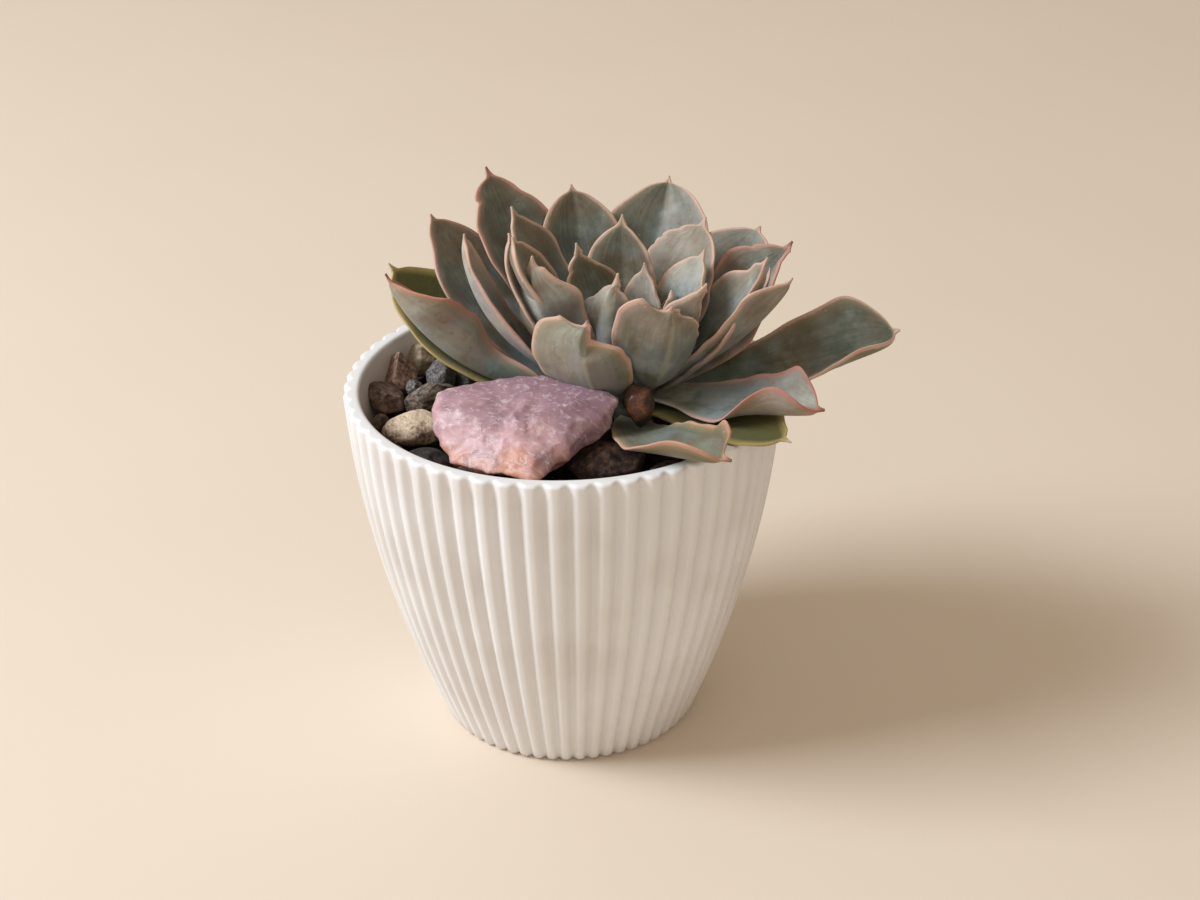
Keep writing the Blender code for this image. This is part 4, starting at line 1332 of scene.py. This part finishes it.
@dataclass(frozen=True)
class StoneFinish:
    """A pebble's colours, its grain and its stripes."""

    name: str
    light: Tint
    main: Tint
    dark: Tint
    grain: float = 1.2
    stripes: float = 0.0
    stripe_turn: tuple[float, float, float] = (0.0, 0.0, 0.0)
    stripe_size: tuple[float, float, float] = (8.0, 1.2, 1.2)
    gloss: float = 0.7
    patch_size: float = 4.5
    pit_spacing: float = 0.9
    relief_depth: float = 0.28

    def material(self) -> bpy.types.Material:
        """Mix the stone's colours, once for all pebbles of its kind.

        Returns:
            The material.
        """
        held = bpy.data.materials.get(self.name)
        if held is not None:
            return held
        board = Board(self.name)
        point = board.place()
        patch = board.cloud(point, self.patch_size, 4.0)
        grain = board.cloud(point, self.grain, 5.0)
        drawn = board.stretched(point, self.stripe_turn, self.stripe_size)
        stripe = board.cloud(drawn, 1.0, 4.0, warp=0.6)
        patchy = (1.0 - self.stripes) * 0.9 * (patch - 0.5)
        value = 0.5 + patchy + 0.8 * (grain - 0.5) + self.stripes * 1.6 * (stripe - 0.5)
        colour = board.ramp(value, (0.28, self.dark), (0.5, self.main), (0.74, self.light))
        pits = board.cells(point, self.pit_spacing).ease(0.28, 0.1) * board.cloud(point, 2.5).ease(0.48, 0.62)
        relief = grain + 0.6 * board.cloud(point, 0.35, 3.0) - 0.8 * pits + self.stripes * stripe
        return board.finish(base_color=board.mix(colour, self.dark, pits * 0.75),
                            roughness=self.gloss + 0.25 * (grain - 0.5),
                            normal=board.bump(relief, self.relief_depth), specular_ior_level=0.4)


class PebbleKind(Enum):
    """The kinds of pebble in the pot."""

    SAND = StoneFinish("sand_stone", Tint(230, 210, 184), Tint(202, 178, 152), Tint(122, 98, 80), 0.9)
    CREAM = StoneFinish("cream_stone", Tint(218, 202, 176), Tint(184, 166, 140), Tint(116, 100, 82), 1.6)
    STRIPED = StoneFinish("striped_stone", Tint(150, 134, 120), Tint(112, 97, 86), Tint(50, 42, 38), 0.9, 0.8,
                          (0.0, 0.0, 40.0), (9.0, 0.9, 0.9))
    WEDGE = StoneFinish("brown_stone", Tint(160, 130, 116), Tint(106, 84, 74), Tint(48, 36, 32), 1.4, 0.3,
                        (0.0, 20.0, -30.0), (7.0, 1.2, 1.2))
    PINK = StoneFinish("pink_brown_stone", Tint(206, 170, 146), Tint(150, 118, 102), Tint(76, 56, 50), 1.1,
                       0.4, (0.0, 60.0, 20.0), (6.0, 1.1, 1.1))
    SLATE = StoneFinish("slate_stone", Tint(150, 142, 138), Tint(100, 93, 92), Tint(44, 40, 42), 0.8, 0.5,
                        (0.0, 65.0, 10.0), (7.0, 0.8, 0.8))
    CHARCOAL = StoneFinish("charcoal_stone", Tint(84, 76, 72), Tint(48, 42, 40), Tint(22, 18, 17), 1.2, 0.3,
                           (0.0, 30.0, 20.0), (6.0, 1.2, 1.2), 0.5)
    TAUPE = StoneFinish("taupe_stone", Tint(150, 130, 112), Tint(110, 94, 80), Tint(58, 46, 40), 1.2)
    UMBER = StoneFinish("umber_stone", Tint(104, 80, 68), Tint(62, 46, 40), Tint(28, 20, 18), 1.5, 0.45,
                        (0.0, 20.0, 60.0), (7.0, 1.5, 1.5), 0.55)


@dataclass
class Pebbles:
    """The loose stones that cover the soil."""

    by_slot: dict[str, PebbleKind] = field(default_factory=lambda: {
        "tan": PebbleKind.SAND, "taupe": PebbleKind.TAUPE, "brown": PebbleKind.WEDGE,
        "slate": PebbleKind.SLATE, "charcoal": PebbleKind.CHARCOAL, "umber": PebbleKind.UMBER})
    by_node: dict[str, PebbleKind] = field(default_factory=lambda: {
        "pebble_02": PebbleKind.STRIPED, "pebble_04": PebbleKind.PINK, "pebble_05": PebbleKind.CREAM,
        "pebble_13": PebbleKind.UMBER, "pebble_26": PebbleKind.UMBER, "pebble_39": PebbleKind.UMBER})
    shapes: dict[str, Shape] = field(default_factory=lambda: {
        "pebble_01": Shape((1.04, 1.06, 1.12)),
        "pebble_02": Shape((1.0, 1.0, 1.2), (-0.6, 2.0, 1.0), ((60.0, 55.0, 0.6),),
                           ((40.0, 10.0, 2.0, 40.0), (215.0, -5.0, 1.5, 40.0))),
        "pebble_03": Shape((1.35, 1.05, 1.3), (0.2, 0.6, 0.6), ((25.0, 62.0, 0.42), (-75.0, 10.0, 0.7)),
                           ((170.0, 28.0, 1.7, 30.0),)),
        "pebble_04": Shape((1.25, 1.15, 1.35), (-2.4, 0.4, 0.0), ((190.0, 38.0, 0.5), (-35.0, 40.0, 0.5)),
                           ((130.0, 60.0, 1.2, 25.0),)),
        "pebble_05": Shape((1.0, 1.0, 1.3), (-2.8, 2.6, 0.5)),
        "pebble_06": Shape((1.1, 1.1, 1.4), (-1.2, 0.0, 0.0), ((210.0, 55.0, 0.6),)),
        "pebble_07": Shape((1.0, 1.05, 1.15), (-3.8, 0.6, 0.0)),
        "pebble_08": Shape((1.2, 1.2, 1.2), (1.4, -0.8, -1.2)),
        "pebble_10": Shape((1.15, 1.1, 1.2)),
        "pebble_12": Shape((1.0, 1.3, 1.6), (0.0, 3.0, 1.3), ((-60.0, 35.0, 0.7), (100.0, 60.0, 0.75))),
        "pebble_13": Shape((1.2, 1.2, 1.4))})

    def build(self) -> None:
        """Add every pebble in place of its plain solid."""
        slots = {row["node"]: row["material_slot"] for row in frame["record"]["subparts"]}
        for index, node in enumerate(sorted(name for name in slots if name.startswith("pebble_")), start=1):
            kind = self.by_node.get(node, self.by_slot[slots[node]])
            lump = Lump(node, self.shapes.get(node, Shape()))
            lump.build(f"stone_{index:02d}", kind.value.material(), slots[node], index)


@dataclass(frozen=True)
class RoseQuartz:
    """Milky pink crystal: mauve above, peach below, with white fractures and a rusty stain; mauve painted on
    its right side as shade, and white specks painted as glints.
    """

    pink: Tint = Tint(198, 158, 162)
    mauve: Tint = Tint(141, 109, 122)
    peach: Tint = Tint(200, 142, 120)
    rust: Tint = Tint(198, 128, 78)
    milk: Tint = Tint(236, 218, 216)
    stain_place: tuple[float, float, float] = (-12.0, -47.0, 101.0)
    veil_turn: tuple[float, float, float] = (0.0, 60.0, 15.0)
    veil_size: tuple[float, float, float] = (6.0, 1.4, 1.4)
    sheet_turn: tuple[float, float, float] = (0.0, 35.0, -20.0)
    sheet_size: tuple[float, float, float] = (9.0, 2.2, 4.0)
    peach_heights: tuple[float, float] = (104.0, 97.0)
    mauve_heights: tuple[float, float] = (105.0, 110.5)
    # where mauve is painted over the right side as painted shade, from left to right
    painted_shade_across: tuple[float, float] = (-8.0, 5.0)
    haze_size: float = 8.0
    relief_depth: float = 0.16

    def material(self) -> bpy.types.Material:
        """Mix the crystal.

        Returns:
            The material.
        """
        board = Board("rose_quartz_crystal")
        point = board.place()
        across, height = (board.add("ShaderNodeSeparateXYZ", {}, {0: point}, output=axis) for axis in "XZ")
        haze = board.cloud(point, self.haze_size, 3.0) - 0.5
        fine = board.cloud(point, 1.2, 4.0)
        level = height + 9.0 * haze
        blotch = board.cloud(point, 5.0).ease(0.52, 0.66)
        distance = {0: point, 1: self.stain_place}
        stain = board.add("ShaderNodeVectorMath", {"operation": "DISTANCE"}, distance, output="Value")
        veil = board.cloud(board.stretched(point, self.veil_turn, self.veil_size), 1.0, 3.0, warp=0.5)
        sheet = board.cloud(board.stretched(point, self.sheet_turn, self.sheet_size), 1.0, 3.0, warp=0.8)
        crack = abs(sheet - 0.5).ease(0.02, 0.004) * board.cloud(point, 5.0).ease(0.46, 0.6)
        # painted glints: small milky white specks in the middle of the crystal, where it is also a little
        # glossier
        painted_glint = board.cells(point, 0.8).ease(0.22, 0.1) * board.cloud(point, 7.0).ease(0.54, 0.62)
        colour = board.layered(
            self.pink,
            (self.peach, level.ease(*self.peach_heights)),
            (self.mauve, level.ease(*self.mauve_heights) * 0.85),
            (self.mauve, blotch * 0.4),
            # painted shade: mauve laid over the right side, which faces away from the light
            (self.mauve, (across + 8.0 * haze).ease(*self.painted_shade_across) * 0.65),
            (self.rust, (stain + 6.0 * (fine - 0.5)).ease(7.0, 2.0) * 0.6),
            (self.milk, veil.ease(0.5, 0.74) * 0.42),
            (self.milk, crack * 0.55),
            # the painted glints
            (self.milk, painted_glint * 0.6))
        normal = board.bump(0.5 * fine + 0.8 * crack + 0.6 * veil, self.relief_depth)
        return board.finish(base_color=colour, roughness=0.5 - 0.3 * painted_glint, normal=normal, ior=1.5,
                            coat_weight=0.1, coat_roughness=0.15, subsurface_weight=0.45,
                            subsurface_radius=(1.0, 0.6, 0.6), subsurface_scale=0.0035)


@dataclass(frozen=True)
class PolishedJasper:
    """Deep reddish brown stone with a wet polish."""

    glow: Tint = Tint(156, 98, 62)
    main: Tint = Tint(92, 56, 40)
    dark: Tint = Tint(40, 24, 19)

    def material(self) -> bpy.types.Material:
        """Mix the polished stone's colours.

        Returns:
            The material.
        """
        board = Board("polished_jasper")
        point = board.place()
        patch = board.cloud(point, 4.5, 4.0)
        fine = board.cloud(point, 0.7, 4.0)
        value = patch + 0.35 * (fine - 0.5)
        colour = board.ramp(value, (0.38, self.dark), (0.58, self.main), (0.8, self.glow))
        normal = board.bump(fine + board.cloud(point, 2.0), 0.04)
        return board.finish(base_color=colour, roughness=0.3 + 0.2 * fine, normal=normal, coat_weight=0.3,
                            coat_roughness=0.15)


@dataclass
class Crystals:
    """The rough crystal on the pebbles and the small polished stone by the rosette."""

    quartz: Lump = field(default_factory=lambda: Lump(
        "rose_quartz",
        Shape((1.09, 1.08, 1.07), pushes=((205.0, -25.0, 2.8, 26.0), (20.0, 15.0, 1.8, 22.0),
                                          (140.0, 48.0, -2.0, 30.0), (50.0, 50.0, -1.4, 25.0))),
        divisions=6, smoothing=1, chips=0, softening=1, scoops=((10.0, 1.9), (4.4, 0.7)), rough=0.2,
        rough_size=2.0))
    jasper: Lump = field(default_factory=lambda: Lump(
        "brown_stone",
        Shape((1.1, 1.1, 1.06), cuts=((265.0, 10.0, 0.78), (200.0, 5.0, 0.82), (330.0, 20.0, 0.84),
                                      (270.0, 75.0, 0.86), (190.0, -40.0, 0.62), (-5.0, -35.0, 0.8))),
        chips=2, chip_depths=(0.8, 0.9), softening=4, scoops=((4.0, 0.1),), rough=0.06, rough_size=3.0))

    def build(self) -> None:
        """Add both stones."""
        self.quartz.build("quartz_lump", RoseQuartz().material(), "quartz", 5)
        self.jasper.build("polished_stone", PolishedJasper().material(), "polished", 4)


# Studio

@dataclass(frozen=True)
class Lamp:
    """A soft rectangular light that looks at the pot."""

    name: str
    azimuth: float
    elevation: float
    distance: float
    size: float
    power: float
    tint: Tint

    def build(self, target: Vector) -> None:
        """Hang the light.

        Args:
            target: The point that it looks at, in metres.
        """
        data = bpy.data.lights.new(self.name, "AREA")
        data.size = self.size * MM
        data.energy = self.power
        data.color = self.tint.light()[:3]
        lamp = bpy.data.objects.new(self.name, data)
        bpy.context.scene.collection.objects.link(lamp)
        away = towards(self.azimuth, self.elevation)
        lamp.location = target + away * self.distance * MM
        lamp.rotation_mode = "QUATERNION"
        lamp.rotation_quaternion = (-away).to_track_quat("-Z", "Y")


@dataclass
class Studio:
    """A plain pale floor, soft light from the left and the camera."""

    floor_half: float = 4000.0
    paper: Tint = Tint(226, 211, 194)
    paper_shade: Tint = Tint(222, 206, 188)
    air: Tint = Tint(240, 224, 204)
    air_strength: float = 0.57
    lens: float = 72.0
    sensor: float = 36.0
    pitch: float = 28.2
    roll: float = -0.84
    aim_height: float = 101.0
    camera_distance: float = 655.5
    camera_right: float = 9.78
    camera_up: float = -19.1
    sight: tuple[float, float] = (0.01, 50.0)
    lamps: tuple[Lamp, ...] = (
        Lamp("key_light", 190.0, 41.0, 1700.0, 780.0, 32.0, Tint(236, 246, 255)),
        Lamp("front_light", 262.0, 35.0, 2000.0, 1200.0, 1.5, Tint(255, 255, 255)),
    )

    def _floor(self) -> None:
        """Lay the floor."""
        board = Board("pale_paper")
        point = board.place()
        colour = board.mix(self.paper, self.paper_shade, board.cloud(point, 120.0))
        normal = board.bump(board.cloud(point, 1.2), 0.01)
        finish = board.finish(base_color=colour, roughness=0.75, normal=normal)
        half = self.floor_half
        corners = np.array([(-half, -half, 0.0), (half, -half, 0.0), (half, half, 0.0), (-half, half, 0.0)])
        mesh = bpy.data.meshes.new("studio_floor")
        mesh.from_pydata((corners * MM).tolist(), [], [(0, 1, 2, 3)])
        mesh.materials.append(finish)
        floor = bpy.data.objects.new("studio_floor", mesh)
        bpy.context.scene.collection.objects.link(floor)

    def _camera(self) -> None:
        """Set the camera at the photograph's angle."""
        down = math.radians(self.pitch)
        lean = math.radians(self.roll)
        forward = Vector((0.0, math.cos(down), -math.sin(down)))
        level = Vector((1.0, 0.0, 0.0))
        upright = level.cross(forward)
        side = math.cos(lean) * level + math.sin(lean) * upright
        up = math.cos(lean) * upright - math.sin(lean) * level
        place = Vector((0.0, 0.0, self.aim_height)) - forward * self.camera_distance
        place += level * self.camera_right + upright * self.camera_up
        data = bpy.data.cameras.new("camera")
        data.lens = self.lens
        data.sensor_width = self.sensor
        data.clip_start, data.clip_end = self.sight
        camera = bpy.data.objects.new("camera", data)
        bpy.context.scene.collection.objects.link(camera)
        turn = Matrix((side, up, -forward)).transposed().to_4x4()
        camera.matrix_world = Matrix.Translation(place * MM) @ turn
        bpy.context.scene.camera = camera

    def build(self) -> None:
        """Set up the floor, the air, the lights and the camera."""
        self._floor()
        world = bpy.data.worlds.new("studio_air")
        world.use_nodes = True
        air = world.node_tree.nodes["Background"]
        air.inputs["Color"].default_value = self.air.light()
        air.inputs["Strength"].default_value = self.air_strength
        bpy.context.scene.world = world
        for lamp in self.lamps:
            lamp.build(Vector((0.0, 0.0, self.aim_height * MM)))
        self._camera()
        bpy.context.scene.view_settings.view_transform = "Standard"
        LOG.info("studio: %d lights", len(self.lamps))


def main() -> None:
    """Build every piece in order."""
    logging.basicConfig(level=logging.INFO, format="%(name)s: %(message)s")
    noise.seed_set(NOISE_SEED)
    pot = Pot()
    for part in (pot, Soil(pot), Rosette(), Pebbles(), Crystals(), Studio()):
        part.build()
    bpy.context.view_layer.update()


if __name__ == "__main__":
    main()
